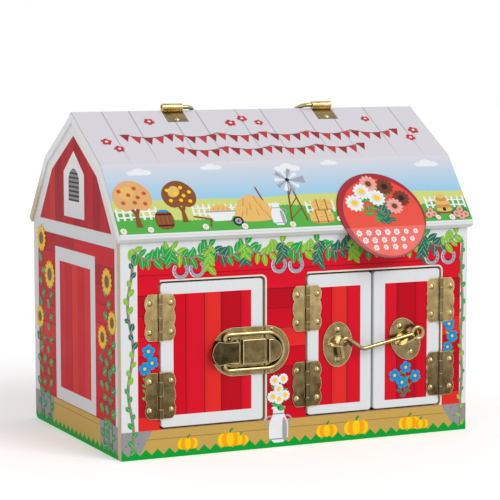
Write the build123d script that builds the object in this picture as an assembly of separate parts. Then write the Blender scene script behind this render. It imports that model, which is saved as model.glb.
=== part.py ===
from build123d import *
import math
import os

# Toy barn with opening doors. Millimetres, +Z up, +X along the ridge, the door side faces -Y.
# The origin is the middle of the underside, on the table.

# ---- driving dimensions ----------------------------------------------------
LENGTH = 288.0            # front wall, corner to corner
DEPTH = 190.0             # front face to rear face
BOARD = 6.0               # walls, doors and roof panels are all cut from one board
HALF_X = LENGTH / 2
HALF_Y = DEPTH / 2
FRONT = -HALF_Y           # the front wall's face, in Y

RIDGE_Z = 248.0           # gambrel roof, outer surface
BREAK_Y, BREAK_Z = 61.5, 212.0
EAVE_Y, EAVE_Z = 101.0, 161.6
ROOF_OVERHANG = 1.5       # past each gable
EAVE_ROUND = 1.2
CORNER_ROUND = 1.2        # front corners of the front wall
FOOT_ROUND = 5.0          # lower rear corner of each gable

CARD_THICK = 0.6          # printed card folded over the front roof slopes
CARD_FLAP = 4.0           # how far the card turns over the ridge
CARD_HEM = 1.4            # the card stops this short of the eave
CARD_WINDOW_GAP = 0.5     # round each handle clip
TAG_RADIUS = 36.6         # round card tag stuck on the lower slope
TAG_X, TAG_UP = 68.3, 12.0                     # its middle, along the ridge and above the eave
TAG_DROOP = 12.0          # degrees that the part past the eave bends down

DOOR_Z0, DOOR_Z1 = 20.8, 129.2                 # openings, sill to head
LEFT_OPENING = (-114.3, -29.2)
RIGHT_OPENING = (4.2, 120.5)
OPENING_ROUND = 3.2
HINGE_GAP = 1.5           # door edge to opening on the hinge side
FREE_GAP = 2.0            # on the latch side, and between the two right-hand doors
END_GAP = 1.4             # above and below a door
SEAM_X = 60.6             # middle of the gap between the middle door and the right door
DOOR_ROUND = 2.4
DOOR_EDGE_ROUND = 0.7

HINGE_Z = (46.0, 103.2)   # middles of the lower and upper hinge of each door
LEAF_WIDE, LEAF_TALL, LEAF_THICK = 12.0, 34.0, 0.8
LEAF_WAVE = 1.3           # depth of the waves in a leaf's outer edge
LEAF_CORNER = 3.0         # how far the outer waves draw in at the leaf's ends
KNUCKLE_R, PIN_R, PIN_CLEAR = 1.6, 0.8, 0.05
KNUCKLES = (7.0, 10.0, 10.0, 7.0)              # from the bottom, wall and door in turn
KNUCKLE_GAP = 0.15
LEAF_START, LEAF_START_OTHER = 1.0, 2.0        # leaf to pin axis, beside its own and the other knuckles
PIN_HEAD_R, PIN_HEAD_H = 1.3, 0.7
HINGE_RIVET_X, HINGE_RIVET_Z = 8.4, 10.6
BARREL_Y = FRONT - KNUCKLE_R

RIVET_R, RIVET_H = 2.4, 1.3
BASE_RIVET_R, BASE_RIVET_H = 1.7, 1.1
STRIKE_RIVET_R, STRIKE_RIVET_H = 1.3, 0.7
CLIP_RIVET_R, CLIP_RIVET_H = 2.1, 1.1
SHANK_R, SHANK_LONG, SHANK_CLEAR = 0.9, 4.0, 0.05
HOLE_SPARE = 0.3          # a blind hole is this much deeper than its shank

PLATE_THICK = 0.8
PRESS_ROUND = 0.6         # edges of the pressed bosses
LATCH_Z = 74.3            # centre line of the toggle latch
LATCH_LEFT, LATCH_RIGHT, LATCH_HALF = -72.9, -9.9, 18.0
BASE_RIGHT, STRIKE_LEFT = -31.3, -28.9
LEVER_X, LATCH_AXIS_Y = -53.4, FRONT - 3.0     # the lever's pivot
THROW = 10.0              # lever pivot to loop pivot
TAB_ROOT, TAB_TIP, TAB_TIP_ROUND = -52.6, -74.4, 5.5
TAB_HALF_ROOT, TAB_HALF_WAIST, TAB_HALF_TIP = 7.8, 7.8, 9.0
TAB_THICK, TAB_LIFT = 1.0, 4.9                 # TAB_LIFT: wall face to the tab's underside
EAR_THICK, EAR_OUT, EAR_IN = 0.8, 7.0, 5.6     # lever's ears outside, base's ears inside
BASE_EAR_WIDE, LEVER_EAR_WIDE = 3.0, 3.6
LATCH_PIN_R, LATCH_HEAD_R = 0.8, 1.2
LOOP_PIN_R = 1.1
WIRE_R = 1.6              # loop, hook and handle are all bent from this wire
LOOP_ARC_X, LOOP_HALF, LOOP_BEND = -29.2, 13.3, 3.4
HOUSING = (-49.8, -31.4, 9.2)                  # pressed boss of the base: left, right, half height
TONGUE = (-28.5, -17.9, 8.5)                   # pressed boss of the strike plate
BOSS_TALL = 5.6

HOOK_Y = FRONT - 6.5      # plane of the hook
RING_X, RING_Z, RING_R = 96.2, 79.8, 4.4
KNEE, CREST, TIP = (48.9, 70.4), (29.07, 84.0), (32.2, 65.0)
KNEE_BEND, CREST_BEND = 6.0, 4.0
OVAL_HALF_X, OVAL_HALF_Z, OVAL_RIVET = 12.4, 17.1, 11.3
CATCH_X, CATCH_Z = 30.7, 74.3
HOOK_PLATE_X, HOOK_PLATE_Z, HOOK_PLATE_TILT = 88.6, 74.8, 24.9
LEDGE_THICK = 1.0
CATCH_LEDGE_HALF, CATCH_LEDGE_REACH = 9.5, 10.4
CATCH_SLOT_R, SLOT_TURN = 2.3, 18.0            # slot turned towards the right door, in degrees
SHELF_LEFT, SHELF_RIGHT, SHELF_REACH, SHELF_ROUND = -8.6, 10.7, 10.2, 3.0
RING_HOLE_U, RING_HOLE_R = 4.8, 2.5            # along the shelf, from the plate's middle
WINDOW_HALF, WINDOW_TALL = 8.4, 7.0            # window left in the plate above each ledge

CLIP_X, CLIP_WIDE, CLIP_DOWN, CLIP_THICK = 64.0, 16.5, 15.5, 0.8
CLIP_RIVET_DOWN = 12.2
TUBE_R, TUBE_BORE = 2.9, WIRE_R + PIN_CLEAR
BAIL_Y, BAIL_Z = -0.45, RIDGE_Z + 3.1          # axis that the handle swings on
BAIL_LEG_X, BAIL_LONG, BAIL_BEND = 44.5, 36.0, 8.0
BAIL_END_X = CLIP_X + CLIP_WIDE / 2 - 0.5

# ---- worked out from them --------------------------------------------------
UPPER = math.atan2(RIDGE_Z - BREAK_Z, BREAK_Y)
LOWER = math.atan2(BREAK_Z - EAVE_Z, EAVE_Y - BREAK_Y)
TURN = (UPPER + LOWER) / 2                     # slope of the mitre at the break, as a normal
LOWER_LONG = math.hypot(EAVE_Y - BREAK_Y, BREAK_Z - EAVE_Z)
ROOF_HALF_X = HALF_X + ROOF_OVERHANG
TILT = math.radians(HOOK_PLATE_TILT)
LEFT_HINGE_X = LEFT_OPENING[0] + HINGE_GAP / 2
MIDDLE_HINGE_X = RIGHT_OPENING[0] + HINGE_GAP / 2
RIGHT_HINGE_X = RIGHT_OPENING[1] - HINGE_GAP / 2
DOOR_X = {
    "left": (LEFT_OPENING[0] + HINGE_GAP, LEFT_OPENING[1] - FREE_GAP),
    "middle": (RIGHT_OPENING[0] + HINGE_GAP, SEAM_X - FREE_GAP / 2),
    "right": (SEAM_X + FREE_GAP / 2, RIGHT_OPENING[1] - HINGE_GAP),
}
# each hinge: its door, its level, X of its pin, side on which the wall's leaf lies, height
HINGES = [
    (door, level, x, side, z)
    for door, x, side in (
        ("left", LEFT_HINGE_X, -1),
        ("middle", MIDDLE_HINGE_X, -1),
        ("right", RIGHT_HINGE_X, 1),
    )
    for level, z in zip(("lower", "upper"), HINGE_Z)
]


def two_rivets(x, z, dx, dz):
    """Two places, one each side of (x, z)."""
    return [(x - dx, z - dz), (x + dx, z + dz)]


WALL_HINGE_RIVETS = [
    place for _, _, x, side, z in HINGES
    for place in two_rivets(x + side * HINGE_RIVET_X, z, 0, HINGE_RIVET_Z)
]
DOOR_HINGE_RIVETS = {
    door: [
        place for owner, _, x, side, z in HINGES if owner == door
        for place in two_rivets(x - side * HINGE_RIVET_X, z, 0, HINGE_RIVET_Z)
    ]
    for door in DOOR_X
}
BASE_RIVETS = two_rivets(-59.0, LATCH_Z, 0, 10.0)
STRIKE_RIVETS = two_rivets(-24.3, LATCH_Z, 0, 15.6)
CATCH_RIVETS = two_rivets(CATCH_X, CATCH_Z, 0, OVAL_RIVET)
HOOK_PLATE_RIVETS = two_rivets(
    HOOK_PLATE_X, HOOK_PLATE_Z, -OVAL_RIVET * math.sin(TILT), OVAL_RIVET * math.cos(TILT)
)
DOOR_PLATE_RIVETS = {"left": BASE_RIVETS, "middle": CATCH_RIVETS, "right": HOOK_PLATE_RIVETS}


# ---- helpers ---------------------------------------------------------------
def write(name, shape):
    """Every piece goes to its own file under its own name."""
    export_step(shape, f"parts/{name}.step")


def off_wall(sketch, depth, start=0.0):
    """A sketch in X and Z, raised from the front face by start and then by depth."""
    return extrude(Plane.XZ.offset(start - FRONT) * sketch, amount=depth)


def along_x(points, x0, x1):
    """A closed outline in Y and Z, run from x0 to x1."""
    return extrude(Plane.YZ.offset(x0) * make_face(Polyline(*points, close=True)), amount=x1 - x0)


def upright(x, y, z, radius, height):
    """A round rod along Z, centred on the place given."""
    return Pos(x, y, z) * Cylinder(radius, height)


def bent_wire(plane, path, start):
    """Round wire along a path drawn on the plane, its section on the start plane."""
    return sweep(start * Circle(WIRE_R), path=plane * path)


def rivet_solid(radius, height, shank):
    """A domed rivet that stands on the XY plane, its shank below."""
    ball = (radius ** 2 + height ** 2) / (2 * height)
    above = Pos(0, 0, radius) * Box(4 * radius, 4 * radius, 2 * radius)
    head = Pos(0, 0, height - ball) * Sphere(ball) & above
    return head + Pos(0, 0, (0.1 - shank) / 2) * Cylinder(SHANK_R, shank + 0.1)


def rivets(places, radius=RIVET_R, height=RIVET_H):
    """Rivets through a plate on the front face, as a group of separate solids."""
    one = rivet_solid(radius, height, SHANK_LONG + PLATE_THICK)
    return [Pos(x, FRONT - PLATE_THICK, z) * Rot(90, 0, 0) * one for x, z in places]


def shank_holes(shape, places, depth):
    """Holes for rivet shanks, bored from the front of a plate to depth behind the face."""
    for x, z in places:
        hole = Pos(x, z) * Circle(SHANK_R + SHANK_CLEAR)
        shape -= off_wall(hole, -depth - 1.0, 1.0)
    return shape


# ---- walls -----------------------------------------------------------------
def roof_under(y):
    """Height of the roof's underside over a wall at distance y from the ridge plane."""
    inner_y = EAVE_Y - BOARD * math.sin(LOWER)
    inner_z = EAVE_Z - BOARD * math.cos(LOWER)
    return inner_z + (inner_y - y) * math.tan(LOWER)


def roof_corners(thick):
    """Corners of a surface under the roof's outside: at the ridge, the break and the eave."""
    reach = thick / math.cos((LOWER - UPPER) / 2)
    return (
        (0.0, RIDGE_Z - thick / math.cos(UPPER)),
        (BREAK_Y - reach * math.sin(TURN), BREAK_Z - reach * math.cos(TURN)),
        (EAVE_Y - thick * math.sin(LOWER), EAVE_Z - thick * math.cos(LOWER)),
    )


def front_wall():
    inner = FRONT + BOARD
    outline = [(FRONT, 0), (inner, 0), (inner, roof_under(-inner)), (FRONT, roof_under(HALF_Y))]
    wall = along_x(outline, -HALF_X, HALF_X)
    for x0, x1 in (LEFT_OPENING, RIGHT_OPENING):
        size = RectangleRounded(x1 - x0, DOOR_Z1 - DOOR_Z0, OPENING_ROUND)
        wall -= off_wall(Pos((x0 + x1) / 2, (DOOR_Z0 + DOOR_Z1) / 2) * size, -BOARD - 2, 1.0)
    upright_edges = wall.edges().filter_by(Axis.Z)
    corners = [e for e in upright_edges if abs(e.center().X) > HALF_X - 1 and e.center().Y < FRONT + 1]
    wall = fillet(corners, CORNER_ROUND)
    return shank_holes(wall, WALL_HINGE_RIVETS + STRIKE_RIVETS, SHANK_LONG + HOLE_SPARE)


def rear_wall():
    inner = HALF_Y - BOARD
    side = HALF_X - BOARD
    outline = [(inner, 0), (HALF_Y, 0), (HALF_Y, roof_under(HALF_Y)), (inner, roof_under(inner))]
    return along_x(outline, -side, side)


def gable_wall(x0):
    """Board that follows the roof's underside and stands behind the front wall."""
    ridge, broken, _ = roof_corners(BOARD)
    front = FRONT + BOARD
    outline = [
        (front, 0), (HALF_Y, 0), (HALF_Y, roof_under(HALF_Y)), broken,
        ridge, (-broken[0], broken[1]), (front, roof_under(-front)),
    ]
    board = along_x(outline, x0, x0 + BOARD)
    foot = board.edges().filter_by(Axis.X).sort_by(Axis.Z)[:2].sort_by(Axis.Y)[-1]
    return fillet(foot, FOOT_ROUND)


def base_panel():
    return Pos(0, 0, BOARD / 2) * Box(LENGTH - 2 * BOARD, DEPTH - 2 * BOARD, BOARD)


# ---- roof ------------------------------------------------------------------
def roof_upper(side):
    ridge, broken, _ = roof_corners(BOARD)
    outline = [(0, RIDGE_Z), (side * BREAK_Y, BREAK_Z), (side * broken[0], broken[1]), ridge]
    return along_x(outline, -ROOF_HALF_X, ROOF_HALF_X)


def roof_lower(side):
    _, broken, eave = roof_corners(BOARD)
    outline = [
        (side * BREAK_Y, BREAK_Z), (side * EAVE_Y, EAVE_Z),
        (side * eave[0], eave[1]), (side * broken[0], broken[1]),
    ]
    panel = along_x(outline, -ROOF_HALF_X, ROOF_HALF_X)
    return fillet(panel.edges().filter_by(Axis.X).sort_by(Axis.Z)[:2], EAVE_ROUND)


def on_slope(x, top, angle, down, lift=0.0):
    """A place on a front slope, down from its top (y, z), with Z square to the slope."""
    y = top[0] - down * math.cos(angle) - lift * math.sin(angle)
    z = top[1] - down * math.sin(angle) + lift * math.cos(angle)
    return Pos(x, y, z) * Rot(math.degrees(angle), 0, 0)


def on_upper_slope(x, down, lift=0.0):
    return on_slope(x, (0.0, RIDGE_Z), UPPER, down, lift)


def front_upper_with_holes():
    panel = roof_upper(-1)
    for x in (-CLIP_X, CLIP_X):
        deep = SHANK_LONG + HOLE_SPARE
        panel -= on_upper_slope(x, CLIP_RIVET_DOWN) * Cylinder(SHANK_R + SHANK_CLEAR, 2 * deep)
    return panel


def slope_point(top, angle, down, lift=0.0):
    """The same place as a point in Y and Z."""
    return (
        top[0] - down * math.cos(angle) - lift * math.sin(angle),
        top[1] - down * math.sin(angle) + lift * math.cos(angle),
    )


def roof_card():
    """Thin printed card: a flap behind the ridge, the upper slope and the lower slope."""
    ridge, broken, _ = roof_corners(-CARD_THICK)
    hem = LOWER_LONG - CARD_HEM
    break_point = (-BREAK_Y, BREAK_Z)
    inner_flap = (CARD_FLAP * math.cos(UPPER), RIDGE_Z - CARD_FLAP * math.sin(UPPER))
    outer_flap = (
        inner_flap[0] + CARD_THICK * math.sin(UPPER),
        inner_flap[1] + CARD_THICK * math.cos(UPPER),
    )
    outline = [
        inner_flap, (0, RIDGE_Z), break_point,
        slope_point(break_point, LOWER, hem),
        slope_point(break_point, LOWER, hem, CARD_THICK),
        (-broken[0], broken[1]), ridge, outer_flap,
    ]
    card = along_x(outline, -ROOF_HALF_X, ROOF_HALF_X)
    wide = CLIP_WIDE + 2 * CARD_WINDOW_GAP
    up, down = CARD_FLAP + 2, CLIP_DOWN + CARD_WINDOW_GAP
    for x in (-CLIP_X, CLIP_X):
        card -= on_upper_slope(x, (down - up) / 2) * Box(wide, down + up, 12)
    return card


def round_tag():
    """Round card tag: its upper part lies on the roof's card, the rest bends over the eave."""
    break_point = (-BREAK_Y, BREAK_Z)
    droop = LOWER + math.radians(TAG_DROOP)
    top_down = LOWER_LONG - TAG_UP - TAG_RADIUS - 1
    below = TAG_RADIUS - TAG_UP
    bend = slope_point(break_point, LOWER, LOWER_LONG, CARD_THICK)
    bisector = (LOWER + droop) / 2
    reach = CARD_THICK / math.cos((droop - LOWER) / 2)
    bend_out = (bend[0] - reach * math.sin(bisector), bend[1] + reach * math.cos(bisector))
    outline = [
        slope_point(break_point, LOWER, top_down, CARD_THICK), bend,
        slope_point(bend, droop, below + 2), slope_point(bend, droop, below + 2, CARD_THICK),
        bend_out, slope_point(break_point, LOWER, top_down, 2 * CARD_THICK),
    ]
    sheet = along_x(outline, TAG_X - TAG_RADIUS - 2, TAG_X + TAG_RADIUS + 2)
    place = on_slope(TAG_X, break_point, LOWER, LOWER_LONG - TAG_UP)
    return sheet & place * Cylinder(TAG_RADIUS, 4 * below)


# ---- doors -----------------------------------------------------------------
def door(name):
    x0, x1 = DOOR_X[name]
    z0, z1 = DOOR_Z0 + END_GAP, DOOR_Z1 - END_GAP
    panel = off_wall(Pos((x0 + x1) / 2, (z0 + z1) / 2) * Rectangle(x1 - x0, z1 - z0), -BOARD)
    panel = fillet(panel.edges().filter_by(Axis.Y), DOOR_ROUND)
    panel = fillet(panel.faces().sort_by(Axis.Y)[0].edges(), DOOR_EDGE_ROUND)
    places = DOOR_HINGE_RIVETS[name] + DOOR_PLATE_RIVETS[name]
    return shank_holes(panel, places, SHANK_LONG + HOLE_SPARE)


# ---- hinges ----------------------------------------------------------------
def knuckle_spans(z):
    """The four knuckles of a hinge, from the bottom, with the gaps taken off."""
    spans = []
    low = z - sum(KNUCKLES) / 2
    for long in KNUCKLES:
        spans.append((low + KNUCKLE_GAP / 2, low + long - KNUCKLE_GAP / 2))
        low += long
    return spans


def leaf_outline(side):
    """Flat of a leaf seen from the front: straight beside the pin, three waves outside."""
    half, near, far = LEAF_TALL / 2, side * LEAF_START_OTHER, side * LEAF_WIDE
    dip, end, third = side * (LEAF_WIDE - LEAF_WAVE), side * (LEAF_WIDE - LEAF_CORNER), LEAF_TALL / 3
    wave = LEAF_TALL / 6
    return make_face(Curve() + [
        Polyline((end, half), (near, half), (near, -half), (end, -half)),
        ThreePointArc((end, -half), (far, -third), (dip, -wave)),
        ThreePointArc((dip, -wave), (far, 0), (dip, wave)),
        ThreePointArc((dip, wave), (far, third), (end, half)),
    ])


def hinge_leaf(x, side, z, own):
    """One leaf with its knuckles. own picks the knuckles that belong to it."""
    spans = [knuckle_spans(z)[i] for i in own]
    neck_wide = LEAF_START_OTHER - LEAF_START + 0.2
    neck_x = x + side * (LEAF_START + neck_wide / 2)
    leaf = off_wall(Pos(x, z) * leaf_outline(side), LEAF_THICK)
    for z0, z1 in spans:
        leaf += off_wall(Pos(neck_x, (z0 + z1) / 2) * Rectangle(neck_wide, z1 - z0), LEAF_THICK)
    for z0, z1 in spans:
        leaf += upright(x, BARREL_Y, (z0 + z1) / 2, KNUCKLE_R, z1 - z0)
    leaf -= upright(x, BARREL_Y, z, PIN_R + PIN_CLEAR, LEAF_TALL + 2)
    places = two_rivets(x + side * HINGE_RIVET_X, z, 0, HINGE_RIVET_Z)
    return shank_holes(leaf, places, 1.0)


def hinge_pin(x, z):
    half = LEAF_TALL / 2
    pin = upright(x, BARREL_Y, z, PIN_R, LEAF_TALL + 0.2)
    for end in (-1, 1):
        pin += upright(x, BARREL_Y, z + end * (half + PIN_HEAD_H / 2), PIN_HEAD_R, PIN_HEAD_H)
    return pin


# ---- toggle latch ----------------------------------------------------------
def half_stadium(left, right):
    """Half of the stadium that the base plate and the strike plate make together."""
    whole = Pos((LATCH_LEFT + LATCH_RIGHT) / 2, LATCH_Z) * SlotOverall(
        LATCH_RIGHT - LATCH_LEFT, 2 * LATCH_HALF
    )
    band = Pos((left + right) / 2, LATCH_Z) * Rectangle(right - left, 2 * LATCH_HALF + 2)
    return off_wall(whole & band, PLATE_THICK)


def pressed_boss(outline, hollow):
    """A raised boss with soft edges, hollow behind."""
    boss = off_wall(outline, BOSS_TALL)
    boss = fillet(boss.faces().sort_by(Axis.Y)[0].edges(), PRESS_ROUND)
    return boss, off_wall(hollow, BOSS_TALL - PLATE_THICK + 1, -1)


def latch_base():
    """Base plate on the left door, with its raised middle and two ears for the lever."""
    left, right, half = HOUSING
    middle = Pos((left + right) / 2, LATCH_Z)
    wall = 2 * PLATE_THICK
    boss, hollow = pressed_boss(
        middle * Rectangle(right - left, 2 * half),
        middle * Rectangle(right - left - wall, 2 * half - wall),
    )
    base = half_stadium(LATCH_LEFT, BASE_RIGHT) + boss - hollow
    foot = FRONT - PLATE_THICK / 2
    ear = Pos(LEVER_X, LATCH_AXIS_Y) * Circle(BASE_EAR_WIDE / 2)
    ear += Pos(LEVER_X, (LATCH_AXIS_Y + foot) / 2) * Rectangle(BASE_EAR_WIDE, foot - LATCH_AXIS_Y)
    for z in (LATCH_Z + EAR_IN, LATCH_Z - EAR_IN - EAR_THICK):
        base += Pos(0, 0, z) * extrude(ear, EAR_THICK)
    base -= upright(LEVER_X, LATCH_AXIS_Y, LATCH_Z, LATCH_PIN_R + PIN_CLEAR, 2 * EAR_OUT)
    return shank_holes(base, BASE_RIVETS, 1.0)


def latch_lever():
    """Fan-shaped finger tab with two ears that carry the lever's pin and the loop."""
    waist, fan = (TAB_ROOT + TAB_TIP) / 2 + 2, TAB_TIP + TAB_TIP_ROUND
    outline = make_face(Curve() + [
        Line((TAB_ROOT, -TAB_HALF_ROOT), (TAB_ROOT, TAB_HALF_ROOT)),
        ThreePointArc((TAB_ROOT, TAB_HALF_ROOT), (waist, TAB_HALF_WAIST), (fan, TAB_HALF_TIP)),
        ThreePointArc((fan, TAB_HALF_TIP), (TAB_TIP, 0), (fan, -TAB_HALF_TIP)),
        ThreePointArc((fan, -TAB_HALF_TIP), (waist, -TAB_HALF_WAIST), (TAB_ROOT, -TAB_HALF_ROOT)),
    ])
    lever = off_wall(Pos(0, LATCH_Z) * outline, TAB_THICK, TAB_LIFT)
    loop_x, seat = LEVER_X - THROW, FRONT - TAB_LIFT - TAB_THICK / 2
    middle = (LEVER_X + loop_x) / 2
    ear = Pos(middle, LATCH_AXIS_Y) * SlotCenterToCenter(THROW, LEVER_EAR_WIDE)
    ear += Pos(middle, (LATCH_AXIS_Y + seat) / 2) * Rectangle(THROW, LATCH_AXIS_Y - seat)
    for z in (LATCH_Z + EAR_OUT, LATCH_Z - EAR_OUT - EAR_THICK):
        lever += Pos(0, 0, z) * extrude(ear, EAR_THICK)
    lever -= upright(LEVER_X, LATCH_AXIS_Y, LATCH_Z, LATCH_PIN_R + PIN_CLEAR, 2 * LATCH_HALF)
    return lever - upright(loop_x, LATCH_AXIS_Y, LATCH_Z, LOOP_PIN_R + PIN_CLEAR, 2 * LATCH_HALF)


def latch_lever_pin():
    """Pin through the base's ears and the lever's ears, headed at both ends."""
    half = EAR_OUT + EAR_THICK + 0.2
    pin = upright(LEVER_X, LATCH_AXIS_Y, LATCH_Z, LATCH_PIN_R, 2 * half + 0.2)
    for end in (-1, 1):
        pin += upright(LEVER_X, LATCH_AXIS_Y, LATCH_Z + end * (half + 0.25), LATCH_HEAD_R, 0.5)
    return pin


def latch_loop():
    """D-shaped wire loop. Its two ends turn inwards and hang in the lever's ears."""
    pivot_x = LEVER_X - THROW
    low = LOOP_HALF - LOOP_BEND
    near = pivot_x + LOOP_BEND
    quarter = LOOP_BEND * (1 - math.sqrt(0.5))
    path = Curve() + [
        ThreePointArc((pivot_x, low), (pivot_x + quarter, LOOP_HALF - quarter), (near, LOOP_HALF)),
        Line((near, LOOP_HALF), (LOOP_ARC_X, LOOP_HALF)),
        ThreePointArc((LOOP_ARC_X, LOOP_HALF), (LOOP_ARC_X + LOOP_HALF, 0), (LOOP_ARC_X, -LOOP_HALF)),
        Line((LOOP_ARC_X, -LOOP_HALF), (near, -LOOP_HALF)),
        ThreePointArc((near, -LOOP_HALF), (pivot_x + quarter, quarter - LOOP_HALF), (pivot_x, -low)),
    ]
    plane = Plane((0, LATCH_AXIS_Y, LATCH_Z), x_dir=(1, 0, 0), z_dir=(0, -1, 0))
    start = Plane((pivot_x, LATCH_AXIS_Y, LATCH_Z + low), x_dir=(1, 0, 0), z_dir=(0, 0, 1))
    loop = bent_wire(plane, path, start)
    inner = EAR_OUT - 0.3
    for end in (-1, 1):
        z = LATCH_Z + end * (low + 0.2 + inner) / 2
        loop += upright(pivot_x, LATCH_AXIS_Y, z, LOOP_PIN_R, low + 0.2 - inner)
    return loop


def strike_plate():
    """Half-round plate on the wall. The loop lies round its raised tongue."""
    left, right, half = TONGUE
    round_x = right - half

    def tongue_outline(inset):
        shape = Pos(round_x, LATCH_Z) * Circle(half - inset)
        shape += Pos(round_x - half / 2, LATCH_Z) * Rectangle(half, 2 * (half - inset))
        keep = Pos((left + right) / 2, LATCH_Z) * Rectangle(right - left - 2 * inset, 3 * half)
        return shape & keep

    boss, hollow = pressed_boss(tongue_outline(0.0), tongue_outline(PLATE_THICK))
    plate = half_stadium(STRIKE_LEFT, LATCH_RIGHT) + boss - hollow
    return shank_holes(plate, STRIKE_RIVETS, 1.0)


# ---- hook and catch --------------------------------------------------------
def oval_plate(x, z, tilt):
    """Oval plate, with the window that its bent-out ledge leaves."""
    place = Pos(x, z) * Rot(0, 0, tilt)
    plate = off_wall(place * Ellipse(OVAL_HALF_X, OVAL_HALF_Z), PLATE_THICK)
    window = Ellipse(WINDOW_HALF, WINDOW_TALL)
    window &= Pos(0, WINDOW_TALL / 2 + LEDGE_THICK) * Rectangle(3 * WINDOW_HALF, WINDOW_TALL)
    return plate - off_wall(place * window, 3, -1)


def catch_plate():
    """Plate on the middle door. The hook's tip drops into the slot of its ledge."""
    half_oval = Ellipse(CATCH_LEDGE_HALF, CATCH_LEDGE_REACH)
    half_oval &= Pos(0, -CATCH_LEDGE_REACH / 2) * Rectangle(3 * CATCH_LEDGE_HALF, CATCH_LEDGE_REACH)
    ledge = Pos(CATCH_X, FRONT, CATCH_Z - LEDGE_THICK / 2) * extrude(half_oval, LEDGE_THICK)
    leg_x = TIP[0] + (CREST[0] - TIP[0]) * (CATCH_Z - TIP[1]) / (CREST[1] - TIP[1])
    slot = Cylinder(CATCH_SLOT_R, 4)
    slot += Rot(0, 0, SLOT_TURN) * Pos(0, -5, 0) * Box(2 * CATCH_SLOT_R, 10, 4)
    plate = oval_plate(CATCH_X, CATCH_Z, 0) + ledge - Pos(leg_x, HOOK_Y, CATCH_Z) * slot
    return shank_holes(plate, CATCH_RIVETS, 1.0)


def hook_plate():
    """Plate on the right door. The hook's ring hangs in the round hole of its shelf."""
    wide = SHELF_RIGHT - SHELF_LEFT
    shelf = Pos((SHELF_LEFT + SHELF_RIGHT) / 2, 0) * RectangleRounded(wide, 2 * SHELF_REACH, SHELF_ROUND)
    shelf &= Pos(0, -SHELF_REACH / 2) * Rectangle(3 * wide, SHELF_REACH)
    shelf -= Pos(RING_HOLE_U, HOOK_Y - FRONT) * Circle(RING_HOLE_R)
    shelf = Pos(0, 0, -LEDGE_THICK / 2) * extrude(shelf, LEDGE_THICK)
    shelf = Pos(HOOK_PLATE_X, FRONT, HOOK_PLATE_Z) * Rot(0, -HOOK_PLATE_TILT, 0) * shelf
    plate = oval_plate(HOOK_PLATE_X, HOOK_PLATE_Z, HOOK_PLATE_TILT) + shelf
    return shank_holes(plate, HOOK_PLATE_RIVETS, 1.0)


def hook():
    """Wire hook: a ring, a straight rod, a knee, and a tip bent down over the catch."""
    reach = math.hypot(RING_X - KNEE[0], RING_Z - KNEE[1])
    ux, uz = (KNEE[0] - RING_X) / reach, (KNEE[1] - RING_Z) / reach
    first = (RING_X + ux * RING_R, RING_Z + uz * RING_R)
    path = FilletPolyline(first, KNEE, CREST, TIP, radius=[KNEE_BEND, CREST_BEND])
    plane = Plane((0, HOOK_Y, 0), x_dir=(1, 0, 0), z_dir=(0, -1, 0))
    start = Plane((first[0], HOOK_Y, first[1]), z_dir=(ux, 0, uz))
    ring = Pos(RING_X, HOOK_Y, RING_Z) * Rot(90, 0, 0) * Torus(RING_R, WIRE_R)
    return ring + bent_wire(plane, path, start)


# ---- carrying handle -------------------------------------------------------
def handle_clip(x):
    """Plate riveted to the front slope, rolled into a tube over the ridge."""
    clip = on_upper_slope(x, CLIP_DOWN / 2, CLIP_THICK / 2) * Box(CLIP_WIDE, CLIP_DOWN, CLIP_THICK)
    axis = Pos(x, BAIL_Y, BAIL_Z) * Rot(0, 90, 0)
    clip += axis * Cylinder(TUBE_R, CLIP_WIDE)
    clip -= axis * Cylinder(TUBE_BORE, CLIP_WIDE + 2)
    return clip - on_upper_slope(x, CLIP_RIVET_DOWN) * Cylinder(SHANK_R + SHANK_CLEAR, 6)


def clip_rivet(x):
    one = rivet_solid(CLIP_RIVET_R, CLIP_RIVET_H, SHANK_LONG + CLIP_THICK)
    return on_upper_slope(x, CLIP_RIVET_DOWN, CLIP_THICK) * one


def handle_bail():
    """Wire handle, folded down over the rear slope, its ends in the two tubes."""
    rear_normal = (0, math.sin(UPPER), math.cos(UPPER))
    plane = Plane((0, BAIL_Y, BAIL_Z), x_dir=(1, 0, 0), z_dir=rear_normal)
    path = FilletPolyline(
        (-BAIL_END_X, 0), (-BAIL_LEG_X, 0), (-BAIL_LEG_X, BAIL_LONG),
        (BAIL_LEG_X, BAIL_LONG), (BAIL_LEG_X, 0), (BAIL_END_X, 0), radius=BAIL_BEND,
    )
    start = Plane((-BAIL_END_X, BAIL_Y, BAIL_Z), z_dir=(1, 0, 0))
    return bent_wire(plane, path, start)


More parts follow.
